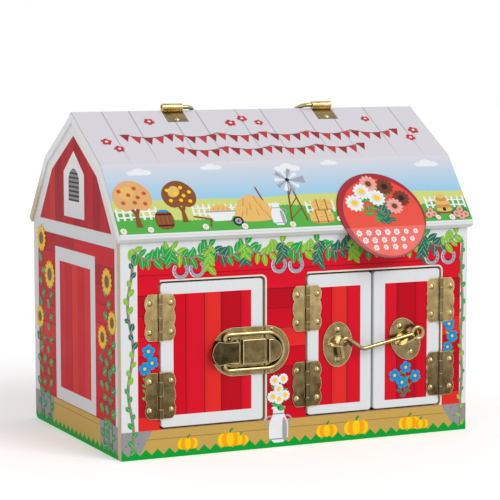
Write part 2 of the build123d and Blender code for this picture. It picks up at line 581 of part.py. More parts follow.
# ---- build -----------------------------------------------------------------
def main():
    os.makedirs("parts", exist_ok=True)
    write("base_panel", base_panel())
    write("front_wall", front_wall())
    write("rear_wall", rear_wall())
    write("left_gable_wall", gable_wall(-HALF_X))
    write("right_gable_wall", gable_wall(HALF_X - BOARD))
    write("roof_front_upper", front_upper_with_holes())
    write("roof_front_lower", roof_lower(-1))
    write("roof_rear_upper", roof_upper(1))
    write("roof_rear_lower", roof_lower(1))
    write("roof_card", roof_card())
    write("round_tag", round_tag())
    for name in DOOR_X:
        write(f"{name}_door", door(name))
    for owner, level, x, side, z in HINGES:
        write(f"{owner}_{level}_hinge_wall_leaf", hinge_leaf(x, side, z, (0, 2)))
        write(f"{owner}_{level}_hinge_door_leaf", hinge_leaf(x, -side, z, (1, 3)))
        write(f"{owner}_{level}_hinge_pin", hinge_pin(x, z))
    write("wall_hinge_rivets", Compound(rivets(WALL_HINGE_RIVETS)))
    for name, places in DOOR_HINGE_RIVETS.items():
        write(f"{name}_door_hinge_rivets", Compound(rivets(places)))
    write("hook_plate_rivets", Compound(rivets(HOOK_PLATE_RIVETS)))
    write("catch_plate_rivets", Compound(rivets(CATCH_RIVETS)))
    write("latch_base_rivets", Compound(rivets(BASE_RIVETS, BASE_RIVET_R, BASE_RIVET_H)))
    write("strike_rivets", Compound(rivets(STRIKE_RIVETS, STRIKE_RIVET_R, STRIKE_RIVET_H)))
    write("latch_base", latch_base())
    write("latch_lever", latch_lever())
    write("latch_lever_pin", latch_lever_pin())
    write("latch_loop", latch_loop())
    write("strike_plate", strike_plate())
    write("catch_plate", catch_plate())
    write("hook_plate", hook_plate())
    write("hook", hook())
    write("left_handle_clip", handle_clip(-CLIP_X))
    write("right_handle_clip", handle_clip(CLIP_X))
    write("clip_rivets", Compound([clip_rivet(-CLIP_X), clip_rivet(CLIP_X)]))
    write("handle_bail", handle_bail())


main()
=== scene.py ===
# %% [markdown]
# # A toy barn with opening doors
# The barn is cut from thin plywood, printed with planks, frames and plants, and carries real
# hinges, a toggle latch and a wire hook. The imported CAD model holds every shape that works, and
# this lesson dresses it: prints, wood edges, brass and light. It loads the model first. Nothing
# that is added here may make the barn bigger.

# %% Load the imported model
import math

import bpy
from mathutils import Matrix, Vector


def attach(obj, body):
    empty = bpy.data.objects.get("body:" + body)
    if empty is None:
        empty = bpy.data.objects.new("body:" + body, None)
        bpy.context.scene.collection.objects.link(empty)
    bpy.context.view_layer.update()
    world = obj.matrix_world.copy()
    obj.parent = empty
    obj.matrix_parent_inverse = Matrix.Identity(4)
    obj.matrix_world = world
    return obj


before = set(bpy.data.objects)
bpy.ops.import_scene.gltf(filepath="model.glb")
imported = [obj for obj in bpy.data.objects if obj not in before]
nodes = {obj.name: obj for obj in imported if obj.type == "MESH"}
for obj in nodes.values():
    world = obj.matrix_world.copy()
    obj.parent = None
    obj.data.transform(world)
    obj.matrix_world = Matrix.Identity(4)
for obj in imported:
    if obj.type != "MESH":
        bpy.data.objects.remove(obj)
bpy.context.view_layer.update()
MM = 0.001

# %% [markdown]
# ## Where the camera stands
# The barn is seen from the front left, a little above the middle of its height. A long lens from
# far away keeps its edges nearly parallel. Such a camera can be aimed with a Track To constraint,
# but the place and angles were worked out from the barn's own corners, so they are set directly:
# a matrix from the right, up and back directions leaves nothing to chance.

# %% Camera
VIEW_YAW, VIEW_PITCH, VIEW_ROLL = 24.80, -6.026, -0.075  # degrees
VIEW_PLACE = Vector((-653.3, -1418.8, 302.9)) * MM
VIEW_LENS = 143.76  # mm, on a 36 mm sensor

yaw, pitch, roll = (math.radians(a) for a in (VIEW_YAW, VIEW_PITCH, VIEW_ROLL))
ahead = Vector((math.sin(yaw) * math.cos(pitch), math.cos(yaw) * math.cos(pitch), math.sin(pitch)))
level = Vector((math.cos(yaw), -math.sin(yaw), 0))
upward = level.cross(ahead)
right = level * math.cos(roll) + upward * math.sin(roll)
upward = upward * math.cos(roll) - level * math.sin(roll)

lens = bpy.data.cameras.new("camera")
lens.lens, lens.sensor_width = VIEW_LENS, 36
camera = bpy.data.objects.new("camera", lens)
turn = Matrix((right, upward, -ahead)).transposed().to_4x4()
camera.matrix_world = Matrix.Translation(VIEW_PLACE) @ turn
bpy.context.scene.collection.objects.link(camera)
bpy.context.scene.camera = camera
print("camera looks along", [round(c, 3) for c in ahead])

# %% [markdown]
# ## Sums that draw themselves as nodes
# A print on a board is mostly arithmetic: how far is this point from a seam, is it inside a
# frame. Wiring that by hand takes hundreds of Math nodes. Here a small class wraps a socket and
# overloads the operators, so a sum written in Python adds the nodes by itself. Everything that
# isn't a number on a sum goes through one method, node, which sets a node's settings first and
# then the values or links of its sockets.


# %% Numbers over a surface
class Sum:
    """A number that changes over a surface. Arithmetic on it adds Math nodes."""

    def __init__(self, finish, socket):
        self.finish, self.socket = finish, socket

    def maths(self, operation, *others, clamp=False):
        settings = {"operation": operation, "use_clamp": clamp}
        return self.finish.number("ShaderNodeMath", settings, dict(enumerate((self, *others))))

    def __add__(self, other):
        return self.maths("ADD", other)

    def __sub__(self, other):
        return self.maths("SUBTRACT", other)

    def __rsub__(self, other):
        return self.maths("MULTIPLY_ADD", -1.0, other)

    def __mul__(self, other):
        return self.maths("MULTIPLY", other)

    def __truediv__(self, other):
        return self.maths("DIVIDE", other)

    def __abs__(self):
        return self.maths("ABSOLUTE")

    __radd__, __rmul__ = __add__, __mul__

    def above(self, edge, soft=0.2):
        """0 below the edge, 1 above it, and a soft step between."""
        if isinstance(edge, Sum):
            return (self - edge).above(0.0, soft)
        return self.maths("MULTIPLY_ADD", 1 / soft, 0.5 - edge / soft, clamp=True)

    def below(self, edge, soft=0.2):
        if isinstance(edge, Sum):
            return (edge - self).above(0.0, soft)
        return self.maths("MULTIPLY_ADD", -1 / soft, 0.5 + edge / soft, clamp=True)

    def within(self, low, high, soft=0.2):
        """1 between two edges."""
        return abs(self - (low + high) / 2).below((high - low) / 2, soft)

    def to_line(self, first, pitch):
        """Distance to the nearest of many lines, one at first and the others a pitch apart."""
        return (self - first).maths("PINGPONG", pitch / 2)

    def least(self, other):
        return self.maths("MINIMUM", other)

    def most(self, other):
        return self.maths("MAXIMUM", other)


# %% A material and its inks
def ink(red, green, blue):
    """A colour as it is printed, 0 to 255, turned into the linear one that nodes work with."""
    straight = [(c / 255 / 12.92 if c < 10.3 else ((c / 255 + 0.055) / 1.055) ** 2.4) for c in (red, green, blue)]
    return (*straight, 1.0)


class Graph:
    """Nodes of a material or of a growth. Its one method node adds any of them."""

    def __init__(self, tree):
        self.tree = tree

    def node(self, kind, settings=None, inputs=None):
        """Adds a node: its settings first, then the values or links of its sockets."""
        made = self.tree.nodes.new(kind)
        for name, value in (settings or {}).items():
            if name == "stops":
                steps = made.color_ramp.elements
                while len(steps) < len(value):
                    steps.new(1.0)
                for step, (place, colour) in zip(steps, value):
                    step.position, step.color = place, colour
            elif name == "interpolation" and hasattr(made, "color_ramp"):
                made.color_ramp.interpolation = value
            else:
                setattr(made, name, value)
        for name, value in (inputs or {}).items():
            socket = made.inputs[name]
            for one in value if isinstance(value, list) else [value]:
                one = one.socket if isinstance(one, Sum) else one
                if isinstance(one, bpy.types.NodeSocket):
                    self.tree.links.new(one, socket)
                else:
                    socket.default_value = one
        return made

    def number(self, kind, settings=None, inputs=None, output=0):
        return Sum(self, self.node(kind, settings, inputs).outputs[output])

    def parts(self, vector):
        split = self.node("ShaderNodeSeparateXYZ", None, {0: vector})
        return [Sum(self, socket) for socket in split.outputs]

    def point(self, x, y, z):
        return self.node("ShaderNodeCombineXYZ", None, {0: x, 1: y, 2: z}).outputs[0]

    def over(self, below, colour, mask):
        """Lays an ink over what is below, where the mask is 1."""
        settings = {"data_type": "RGBA"}
        return self.node("ShaderNodeMix", settings, {0: mask, 6: below, 7: colour}).outputs[2]


class Finish(Graph):
    """One material. Its sums read the piece's own coordinates, in millimetres."""

    def __init__(self, name):
        self.material = bpy.data.materials.new(name)
        self.material.use_nodes = True
        super().__init__(self.material.node_tree)
        self.tree.nodes.clear()
        spot = self.node("ShaderNodeTexCoord")
        self.place = spot.outputs["Object"]
        self.x, self.y, self.z = (part * 1000 for part in self.parts(self.place))
        self.face_x, self.face_y, self.face_z = self.parts(spot.outputs["Normal"])

    def stretched(self, x, y, z):
        """The piece's coordinates divided by a grain size in millimetres along each axis."""
        scale = (1000 / x, 1000 / y, 1000 / z)
        settings = {"operation": "MULTIPLY"}
        return self.node("ShaderNodeVectorMath", settings, {0: self.place, 1: scale}).outputs[0]

    def noise(self, size, detail=2.0):
        """Cloudy noise around 0.5. size is one number or three, in millimetres."""
        size = size if isinstance(size, tuple) else (size,) * 3
        values = {"Vector": self.stretched(*size), "Scale": 1.0, "Detail": detail}
        return self.number("ShaderNodeTexNoise", None, values)

    def shade(self, colour, amount):
        """Makes a colour lighter or darker by a factor."""
        grey = (amount,) * 3 if isinstance(amount, float) else self.point(amount, amount, amount)
        if isinstance(colour, tuple):
            colour = colour[:3]
        settings = {"operation": "MULTIPLY"}
        return self.node("ShaderNodeVectorMath", settings, {0: colour, 1: grey}).outputs[0]

    def choose(self, number, tones, low, high):
        """Picks one of several inks by where a number lies between low and high."""
        place = self.node(
            "ShaderNodeMapRange", None, {0: number, 1: float(low), 2: float(high)}
        ).outputs[0]
        stops = [(i / len(tones), tone) for i, tone in enumerate(tones)]
        ramp = {"stops": stops, "interpolation": "CONSTANT"}
        return self.node("ShaderNodeValToRGB", ramp, {0: place}).outputs[0]

    def done(self, colour, roughness, bump=None, depth=0.1, **constants):
        """Ends the material with its shader. depth is the bump's height in millimetres."""
        values = {"Base Color": colour, "Roughness": roughness}
        if bump is not None:
            raised = {"Height": bump, "Strength": 1.0, "Distance": depth * MM}
            values["Normal"] = self.node("ShaderNodeBump", None, raised).outputs[0]
        values.update({name.replace("_", " "): value for name, value in constants.items()})
        shader = self.node("ShaderNodeBsdfPrincipled", None, values)
        self.node("ShaderNodeOutputMaterial", None, {"Surface": shader.outputs[0]})
        return self.material


# %% [markdown]
# ## Plywood
# The barn's boards are plywood: two face veneers with long fine grain, and between them plies
# whose grain turns by a quarter each time, so that an edge shows light and dark lines. An image
# of wood would do, but noise stretched along the grain gives the veneer, and one sum across the
# board's thickness gives the lines of an edge on every board at once.

# %% Bare wood
VENEER, VENEER_DARK = ink(214, 190, 150), ink(186, 154, 108)
PLY_LIGHT, PLY_DARK = ink(226, 206, 174), ink(182, 146, 106)
BOARD = 6.0


def wood_grain(f, along):
    """Fine streaks along one axis of the barn, around 0.5."""
    long = {"x": (70, 2.4, 1.3), "z": (1.3, 2.4, 70)}[along]
    fine = tuple(0.35 * s if s < 50 else s for s in long)
    return f.noise(long, 3) * 0.65 + f.noise(fine, 2) * 0.35


def bare_wood(f, across, along="x"):
    """Colour of unprinted wood. across is 0 to 1 through the board, as a sum."""
    grain = wood_grain(f, along)
    face = f.over(VENEER, VENEER_DARK, grain.above(0.5, 0.35) * 0.7)
    layers = (across * 5 + (f.noise(9) - 0.5) * 0.25).maths("PINGPONG", 1.0)
    edge = f.over(PLY_LIGHT, PLY_DARK, layers.above(0.62, 0.3) * 0.75)
    edge = f.over(edge, PLY_DARK, f.noise((1.1, 1.1, 1.1), 2).above(0.66, 0.1) * 0.5)
    inside = across.within(0.04, 0.96, 0.04)
    return f.over(face, edge, inside), grain


# %% [markdown]
# ## Printing on a board
# The pictures are printed straight on white-primed wood and varnished. Up close such a print is
# never one flat ink: the wood under it shows as faint streaks, and the varnish has a soft orange
# peel. Both go into one function that closes every printed board, so all of them share the same
# skin. Its gloss is the shader's specular level, which stays low, because a matt varnish keeps
# the reds deep where a board is seen from the side.

# %% Varnish over print
WHITE = ink(223, 226, 228)


def varnished(f, colour, grain, gloss=0.11):
    """Closes a printed board."""
    tint = (grain - 0.5) * 0.10 + (f.noise(0.5, 1) - 0.5) * 0.05 + 1.0
    colour = f.shade(colour, tint)
    peel = f.noise(1.6, 2)
    rough = 0.36 + (f.noise(22, 3) - 0.5) * 0.16 + (grain - 0.5) * 0.10
    relief = peel * 0.5 + grain * 0.5
    return f.done(colour, rough, relief, 0.05, Specular_IOR_Level=gloss)


# %% [markdown]
# ## The reds of the planks
# Every plank of the print has its own red, from orange to deep crimson, with a thin dark seam
# between neighbours and a faint shadow under each lap. A random tone for each plank would be
# quick, but a few named inks in a chosen order look like a printer's work, and a ramp with
# constant steps holds them in one node.

# %% Red inks and clapboards
ORANGE, RED, CRIMSON, DEEP = ink(226, 42, 38), ink(218, 12, 38), ink(208, 2, 30), ink(188, 0, 26)
SEAM = ink(136, 4, 26)
TONES = {"o": ORANGE, "r": RED, "c": CRIMSON, "d": DEEP}
LAP = 14.7  # mm from one clapboard to the next
FIRST_LAP = 16.5


def planks(f, across, order, low, high):
    """Planks of equal width from low to high, their inks named by letters."""
    return f.choose(across, [TONES[letter] for letter in order], low, high)


def seams(f, across, first, pitch, width=0.55):
    """Dark lines a pitch apart."""
    return across.to_line(first, pitch).below(width / 2, 0.25)


def clapboards(f, first, pitch, *orders):
    """Laps with a seam and a shaded upper edge. Each order is (ink letters, left edge)."""
    top = first + pitch * len(orders[0][0])
    colour = planks(f, f.z, orders[0][0], first, top)
    for letters, left in orders[1:]:
        colour = f.over(colour, planks(f, f.z, letters, first, top), f.x.above(left))
    rise = ((f.z - first) / pitch).maths("FRACT")
    colour = f.shade(colour, 1.03 - rise * 0.09)
    return f.over(colour, SEAM, seams(f, f.z, first, pitch))


# %% [markdown]
# ## Ground: sill, stone footings and grass
# Along the foot of every wall run a tan sill, grey stone corners and a saw-tooth line of grass.
# All of it follows simple rules in the wall's own coordinates, so it stays in the shader: a
# triangle wave for the grass, a slanted line for each footing, and a cell texture for the specks
# in the stone.

# %% Foot of a wall
SILL, SILL_LINE = ink(198, 163, 86), ink(150, 116, 56)
STONE, STONE_FLECK = ink(142, 141, 143), ink(106, 98, 102)
GRASS = ink(0, 158, 52)
TOOTH, TOOTH_TALL, TURF = 9.2, 4.4, 2.9


def speckled_stone(f):
    cells = {"Vector": f.stretched(3.4, 3.4, 3.4), "Scale": 1.0}
    spot = f.number("ShaderNodeTexVoronoi", None, cells)
    cloud = f.over(STONE, ink(154, 153, 155), f.noise(8, 3))
    return f.over(cloud, STONE_FLECK, spot.below(0.16, 0.05))


def ground(f, colour, along, stone, sill_top, line, first_tooth):
    """Lays sill, footings and grass over a wall. stone is 1 on the footings."""
    low = f.z.below(sill_top)
    colour = f.over(colour, SILL, low)
    colour = f.over(colour, SILL_LINE, f.z.within(line - 0.25, line + 0.25))
    colour = f.over(colour, speckled_stone(f), low * stone)
    blades = along.to_line(first_tooth, TOOTH) * (-TOOTH_TALL / (TOOTH / 2)) + TURF + TOOTH_TALL
    return f.over(colour, GRASS, f.z.below(blades))


# %% [markdown]
# ## The front wall
# White corner posts and a white board under the eave hold the red clapboards, and the two
# doorways are cut through them. Only the outer face is printed. The cut edges stay bare, which
# the shader knows from the direction that a face looks in.

# %% Front wall print
FRONT_Y = -95.0
LEFT_POST, RIGHT_POST, FASCIA = -130.7, 137.4, 147.2


DOORWAYS, SILL_Z, HEAD_Z = ((-114.3, -29.2), (4.2, 120.5)), 20.8, 129.2
TRIM, TRIM_WIDE, CORNER = ink(232, 222, 212), 1.5, 3.2


def doorway_trim(f, x0, x1):
    """A pale line round the upper and right edges of a doorway, with a round corner."""
    past_x = (f.x - (x1 - CORNER)).most(0.0)
    past_z = (f.z - (HEAD_Z - CORNER)).most(0.0)
    away = (past_x * past_x + past_z * past_z).maths("SQRT")
    return away.within(CORNER - 0.9, CORNER + TRIM_WIDE * 0.8) * f.x.within(x0 + 1.2, x1 + 9) * f.z.above(SILL_Z)


def front_wall_print():
    f = Finish("front_wall_print")
    across = (f.y - FRONT_Y) / BOARD
    wood, grain = bare_wood(f, across, "z")
    colour = clapboards(f, FIRST_LAP, LAP, ("oddcrcdrr", 0), ("cddcocdrr", -72), ("odddocdrr", 62))
    post = f.x.below(LEFT_POST).most(f.x.above(RIGHT_POST)).most(f.z.above(FASCIA))
    colour = f.over(colour, WHITE, post)
    for x0, x1 in DOORWAYS:
        colour = f.over(colour, TRIM, doorway_trim(f, x0, x1))
    left = f.x.below((f.z - 19.8) * 0.56 - 120.4)
    footing = left.most(f.x.above((19.8 - f.z) * 0.7 + 121.5))
    colour = ground(f, colour, f.x, footing, SILL_Z, 14.2, -124.9)
    printed = f.over(wood, colour, f.face_y.below(-0.6, 0.2))
    return varnished(f, printed, grain)


nodes["front_wall"].data.materials.clear()
nodes["front_wall"].data.materials.append(front_wall_print())
print("front wall printed")

# %% [markdown]
# ## The gables
# Each gable has a white-framed door printed on it, clapboards round it, and above a white band
# vertical planks that follow the roof line inside white bargeboards, with a louvred loft window
# in the middle. The pattern is the same left and right of the middle, so most of it is written
# with the distance from the middle.

# %% Gable print
GABLE_LAP, GABLE_FIRST = 14.25, 10.45
FRAME_WHITE, BARGE_WHITE = ink(230, 230, 232), ink(250, 250, 250)


def gable_print(name, outer_x, side):
    f = Finish(name)
    across = abs(f.x - outer_x) / BOARD
    wood, grain = bare_wood(f, across, "z")
    out = abs(f.y)
    colour = planks(f, f.z, "rrrcrorcdr", GABLE_FIRST, GABLE_FIRST + 10 * GABLE_LAP)
    other = planks(f, f.z, "crcrorcrcd", GABLE_FIRST, GABLE_FIRST + 10 * GABLE_LAP)
    colour = f.over(colour, other, f.y.above(0.0))
    colour = f.over(colour, SEAM, seams(f, f.z, GABLE_FIRST, GABLE_LAP))
    upright = planks(f, f.y, "crdrcdrcdorc", -84, 84)
    upright = f.over(upright, SEAM, seams(f, f.y, 0.0, 14.0, 0.45))
    # Painted shade: the upright planks above the band are darkened to 0.84 of their inks.
    colour = f.over(colour, f.shade(upright, 0.84), f.z.above(158))
    eaves = (out * -0.5657 + 231).least(out * -1.3458 + 269.6)
    white = f.z.above(eaves).most(f.z.within(153.2, 163.3)).most(out.above(84.6) * f.z.below(158))
    loft = f.z.above(169) * out.below(22.4) * f.z.below(out * -0.7366 + 219.5)
    frame_outer = out.below(44) * f.z.within(24.6, 143.8)
    paint = f.over(FRAME_WHITE, BARGE_WHITE, f.z.above(182.0, 40.0))
    colour = f.over(colour, paint, white.most(loft).most(frame_outer))
    above_spring = (f.z - 196).most(0.0) * 1.15
    arch = (out * out + above_spring * above_spring).maths("SQRT").below(11.6) * f.z.above(181.5)
    slat = ((f.z - 181.5) / 3.4).maths("FRACT")
    louvre = f.over(ink(54, 40, 40), ink(150, 148, 150), slat.above(0.42, 0.1))
    colour = f.over(colour, louvre, arch)
    door = planks(f, f.y, "orocr", -34, 34)
    door = f.over(door, SEAM, seams(f, f.y, -34.0, 13.6, 0.5))
    colour = f.over(colour, door, out.below(34) * f.z.within(34.6, 133.3))
    footing = out.above(54 - f.z * 0.15)
    colour = ground(f, colour, f.y, footing * f.z.below(24.0), 24.0, 19.6, 0.0)
    # Painted light: the foot of the gable is made up to 22 percent lighter, standing in for light bounced up from the
    # floor.
    colour = f.shade(colour, f.z.below(24.0, 3.0) * 0.22 + 1.0)
    printed = f.over(wood, colour, (f.face_x * side).above(0.6, 0.2))
    return varnished(f, printed, grain, 0.04)


for name, outer_x, side in (("left_gable_wall", -144.0, -1), ("right_gable_wall", 144.0, 1)):
    nodes[name].data.materials.clear()
    nodes[name].data.materials.append(gable_print(name.replace("wall", "print"), outer_x, side))
print("gables printed")

# %% [markdown]
# ## The rear wall and the floor
# The back of the barn carries the same clapboards between white posts. The floor panel and all
# inner faces are bare plywood.

# %% Rear wall and bare panel
def rear_wall_print():
    f = Finish("rear_wall_print")
    across = (95.0 - f.y) / BOARD
    wood, grain = bare_wood(f, across, "x")
    colour = clapboards(f, FIRST_LAP, LAP, ("ocdrcdorc", 0), ("crodrcrdr", -41), ("drcrdocrc", 37))
    colour = f.over(colour, WHITE, abs(f.x).above(125).most(f.z.above(FASCIA)))
    footing = abs(f.x).above((19.8 - f.z) * 0.5 + 112)
    colour = ground(f, colour, f.x, footing, 19.8, 14.2, 0.0)
    printed = f.over(wood, colour, f.face_y.above(0.6, 0.2))
    return varnished(f, printed, grain)


def bare_plywood():
    f = Finish("bare_plywood")
    wood, grain = bare_wood(f, f.z / BOARD, "x")
    rough = 0.6 + (grain - 0.5) * 0.3
    return f.done(wood, rough, grain, 0.12)


nodes["rear_wall"].data.materials.clear()
nodes["rear_wall"].data.materials.append(rear_wall_print())
nodes["base_panel"].data.materials.clear()
nodes["base_panel"].data.materials.append(bare_plywood())

# %% [markdown]
# ## The doors
# A door is a white frame round upright planks. The board's rounded edges are white too, as they
# are dipped before printing, and the back shows bare wood. One function makes all three, from
# the frame's inner edges and the places of the seams.

# %% Door prints
DOORS = {
    "left_door": ((-102.9, -40.7, 30.9, 119.6), (-93.1, -78.3, -65.0, -49.0), "crodr"),
    "middle_door": ((14.8, 50.3, 28.9, 118.2), (25.8, 38.9), "cor"),
    "right_door": ((71.4, 108.1, 28.3, 118.3), (81.7, 97.9), "rdc"),
}


def door_print(name, opening, lines, order):
    f = Finish(name + "_print")
    x0, x1, z0, z1 = opening
    across = (f.y - FRONT_Y) / BOARD
    wood, grain = bare_wood(f, across, "z")
    colour = TONES[order[0]]
    for line, letter in zip(lines, order[1:]):
        colour = f.over(colour, TONES[letter], f.x.above(line))
    for line in lines:
        soft = f.x.within(line - 0.4, line + 2.6, 1.8)
        colour = f.shade(colour, 1.0 - soft * 0.10)
        colour = f.over(colour, SEAM, f.x.within(line - 0.3, line + 0.3))
    inside = f.x.within(x0, x1) * f.z.within(z0, z1)
    colour = f.over(WHITE, colour, inside * f.face_y.below(-0.9, 0.1))
    printed = f.over(colour, wood, f.face_y.above(0.6, 0.2))
    return varnished(f, printed, grain)


for name, (opening, lines, order) in DOORS.items():
    nodes[name].data.materials.clear()
    nodes[name].data.materials.append(door_print(name, opening, lines, order))
print("doors printed")

# %% [markdown]
# ## Roof boards and the printed card
# The roof panels are painted white. A thin card is folded over the front slopes: pale planks
# above, and below the break a sky that turns into hills and a meadow. The picture follows the
# slope, so the card first works out v, the distance up the lower slope from its eave.

# %% Roof paint and card
RIDGE_Z, BREAK_Y, BREAK_Z, EAVE_Y, EAVE_Z = 248.0, 61.5, 212.0, 101.0, 161.6
UPPER = math.atan2(RIDGE_Z - BREAK_Z, BREAK_Y)
LOWER = math.atan2(BREAK_Z - EAVE_Z, EAVE_Y - BREAK_Y)
CARD_LILAC, CARD_LINE = ink(216, 213, 220), ink(170, 168, 180)
BOARD_END = ink(252, 252, 252)
SKY, HILL, MEADOW = ink(150, 200, 228), ink(203, 210, 118), ink(78, 170, 64)
CARD_LINES = (-121.5, -99.5, -66.5, -44.5, -11.0, 10.5, 45.5, 69.0, 101.4, 124.4)


def roof_paint():
    f = Finish("roof_paint")
    grain = wood_grain(f, "x")
    colour = f.over(ink(226, 226, 228), ink(206, 208, 210), grain.above(0.6, 0.3) * 0.3)
    rear = f.y.above(0.5) * f.face_z.above(0.3)
    lines = seams(f, f.x, 0.0, 24.0, 0.7)
    colour = f.over(colour, CARD_LINE, lines * rear)
    inner = f.face_z.below(-0.3, 0.1) * (f.face_y * f.y).below(0.0, 0.1) * abs(f.x).below(138.0)
    rear_end = f.y.above(72.0, 16.0) * (f.face_z.below(-0.3, 0.1).most(abs(f.face_x).above(0.5)))
    bare = inner.most(rear_end * 0.8)
    colour = f.over(colour, BOARD_END, abs(f.face_x).above(0.5))
    colour = f.over(colour, f.over(PLY_LIGHT, PLY_DARK, grain.above(0.5, 0.3)), bare)
    return varnished(f, colour, grain)


def card_print():
    f = Finish("roof_card_print")
    v = f.y * math.cos(LOWER) + f.z * math.sin(LOWER) + (
        EAVE_Y * math.cos(LOWER) - EAVE_Z * math.sin(LOWER)
    )
    haze = v.maths("MULTIPLY_ADD", -1 / 33, 65 / 33, clamp=True)
    colour = f.over(CARD_LILAC, SKY, haze)
    fade = f.z.maths("MULTIPLY_ADD", 1 / 20, -210 / 20, clamp=True)
    for line in CARD_LINES:
        colour = f.over(colour, CARD_LINE, f.x.within(line - 0.5, line + 0.5, 0.5) * fade)
    wave = (f.x / 30).maths("SINE") + (f.x / 13 + 1.0).maths("SINE") * 0.5
    colour = f.over(colour, HILL, v.below(wave * 0.9 + 31.8))
    tufts = f.x.to_line(0.0, 3.1) * 0.7
    colour = f.over(colour, MEADOW, v.below((f.x / 24 + 2).maths("SINE") * 5 + tufts + 18))
    colour = f.over(colour, WHITE, v.below(3.5))
    speck = (f.noise(0.35, 1) - 0.5) * 0.05 + 1.0
    colour = f.shade(colour, speck)
    edge = abs(f.face_x).above(0.5, 0.2)
    colour = f.over(colour, ink(150, 148, 150), edge)
    rough = 0.42 + (f.noise(15, 3) - 0.5) * 0.14
    relief = f.noise(0.8, 3) * 0.4 + f.noise(38, 2) * 3
    return f.done(colour, rough, relief, 0.06, Specular_IOR_Level=0.2)


paint = roof_paint()
for name in ("roof_front_upper", "roof_front_lower", "roof_rear_upper", "roof_rear_lower"):
    nodes[name].data.materials.clear()
    nodes[name].data.materials.append(paint)
nodes["roof_card"].data.materials.clear()
nodes["roof_card"].data.materials.append(card_print())
print("roof and card printed")

# %% [markdown]
# ## The round tag
# A round card tag is stuck on the roof's lower corner. It is printed red with a darker ring.

# %% Tag print
TAG_X, TAG_UP, TAG_RADIUS = 68.3, 12.0, 36.6


def tag_print():
    f = Finish("tag_card_print")
    v = f.y * math.cos(LOWER) + f.z * math.sin(LOWER) + (
        EAVE_Y * math.cos(LOWER) - EAVE_Z * math.sin(LOWER) - TAG_UP
    )
    u = f.x - TAG_X
    radius = (u * u + v * v).maths("SQRT")
    inner = ((u - 1.6) * (u - 1.6) + (v + 1.6) * (v + 1.6)).maths("SQRT")
    warm = (v / 73.2 + 0.5).maths("MULTIPLY_ADD", 1.0, 0.0, clamp=True)
    face = f.over(ink(226, 84, 62), ink(232, 58, 46), warm)
    colour = f.over(ink(160, 22, 40), face, inner.below(33.4))
    colour = f.shade(colour, (f.noise(0.4, 1) - 0.5) * 0.06 + 1.0)
    colour = f.over(colour, ink(120, 20, 30), radius.above(TAG_RADIUS - 0.35, 0.2))
    rough = 0.33 + (f.noise(12, 3) - 0.5) * 0.14
    relief = f.noise(0.8, 3) * 0.4 + f.noise(30, 2) * 3
    return f.done(colour, rough, relief, 0.06, Specular_IOR_Level=0.3)


nodes["round_tag"].data.materials.clear()
nodes["round_tag"].data.materials.append(tag_print())

# %% [markdown]
# ## Where flat prints lie
# Leaves, flowers and small pictures are drawn flat, in millimetres, and then laid on a board as
# a very thin skin of ink. Each printed face has a matrix that carries the flat drawing there:
# right and up stay right and up for someone who looks at that face from outside. The skin is a
# tenth of a millimetre thick, so that a board keeps its size.

# %% Places for prints
def face_matrix(origin, across, up):
    """Carries flat millimetres, x across and y up, onto a face in metres."""
    across, up = Vector(across).normalized(), Vector(up).normalized()
    turned = Matrix((across, up, across.cross(up))).transposed().to_4x4()
    return Matrix.Translation(Vector(origin) * MM) @ turned @ Matrix.Scale(MM, 4)


slope_up = (0, math.cos(LOWER), math.sin(LOWER))
slope_out = Vector((0, -math.sin(LOWER), math.cos(LOWER)))
CARD_THICK = 0.6
FACES = {
    "front": face_matrix((0, FRONT_Y, 0), (1, 0, 0), (0, 0, 1)),
    "rear": face_matrix((0, 95, 0), (-1, 0, 0), (0, 0, 1)),
    "left": face_matrix((-144, 0, 0), (0, -1, 0), (0, 0, 1)),
    "right": face_matrix((144, 0, 0), (0, 1, 0), (0, 0, 1)),
    "slope": face_matrix(Vector((0, -EAVE_Y, EAVE_Z)) + slope_out * CARD_THICK, (1, 0, 0), slope_up),
    "tag": face_matrix(
        Vector((TAG_X, -EAVE_Y, EAVE_Z)) + Vector(slope_up) * TAG_UP + slope_out * 2 * CARD_THICK,
        (1, 0, 0), slope_up,
    ),
    "upper": face_matrix(
        Vector((0, -BREAK_Y, BREAK_Z)) + Vector((0, -math.sin(UPPER), math.cos(UPPER))) * CARD_THICK,
        (1, 0, 0), (0, math.cos(UPPER), math.sin(UPPER)),
    ),
}
print("printed faces:", sorted(FACES))


# %% [markdown]
# ## One ink for all small prints
# A material for each colour would give dozens of them. Instead every point of a print carries
# its colour in an attribute named ink, and one material reads it. Leaves also carry their own
# coordinates in an attribute named leaf, with a 1 as its third part, from which the material
# draws the pale ribs. A petal has 0.5 there and gets a darker throat instead. Prints without
# that attribute read zeros, so they get neither.

# %% Printed ink
def printed_ink():
    f = Finish("printed_ink")
    colour = f.node("ShaderNodeAttribute", {"attribute_name": "ink"}).outputs["Color"]
    leaf = f.node("ShaderNodeAttribute", {"attribute_name": "leaf"}).outputs["Vector"]
    along, across, kind = f.parts(leaf)
    rib = abs(across).below(0.06, 0.06)
    twigs = (along * 3.0 - abs(across) * 1.6).maths("PINGPONG", 0.5).below(0.07, 0.08)
    pale = f.over(colour, ink(226, 236, 214), 0.75)
    colour = f.over(colour, pale, rib.most(twigs * 0.2) * kind.above(0.75, 0.1))
    throat = along.below(-0.2, 0.7) * kind.within(0.25, 0.75, 0.1)
    colour = f.shade(colour, 1.0 - throat * 0.22)
    return varnished(f, colour, f.noise((9, 9, 9), 3))


small_print = printed_ink()


# %% [markdown]
# ## Leaves along a vine
# Leaves repeat by the hundred, so Geometry Nodes grow them. The tree takes a path and resamples
# it, sets a leaf on each point, turned a little to the left and right of the path's direction in
# turn, and picks its green from three inks by a random number with a fixed seed. A leaf starts as
# a flat cylinder, which is closed, and is squeezed to a point at both ends. Each leaf lies a
# hair above the last, and each print has its own level, because two faces that share a plane
# come out black where they overlap.

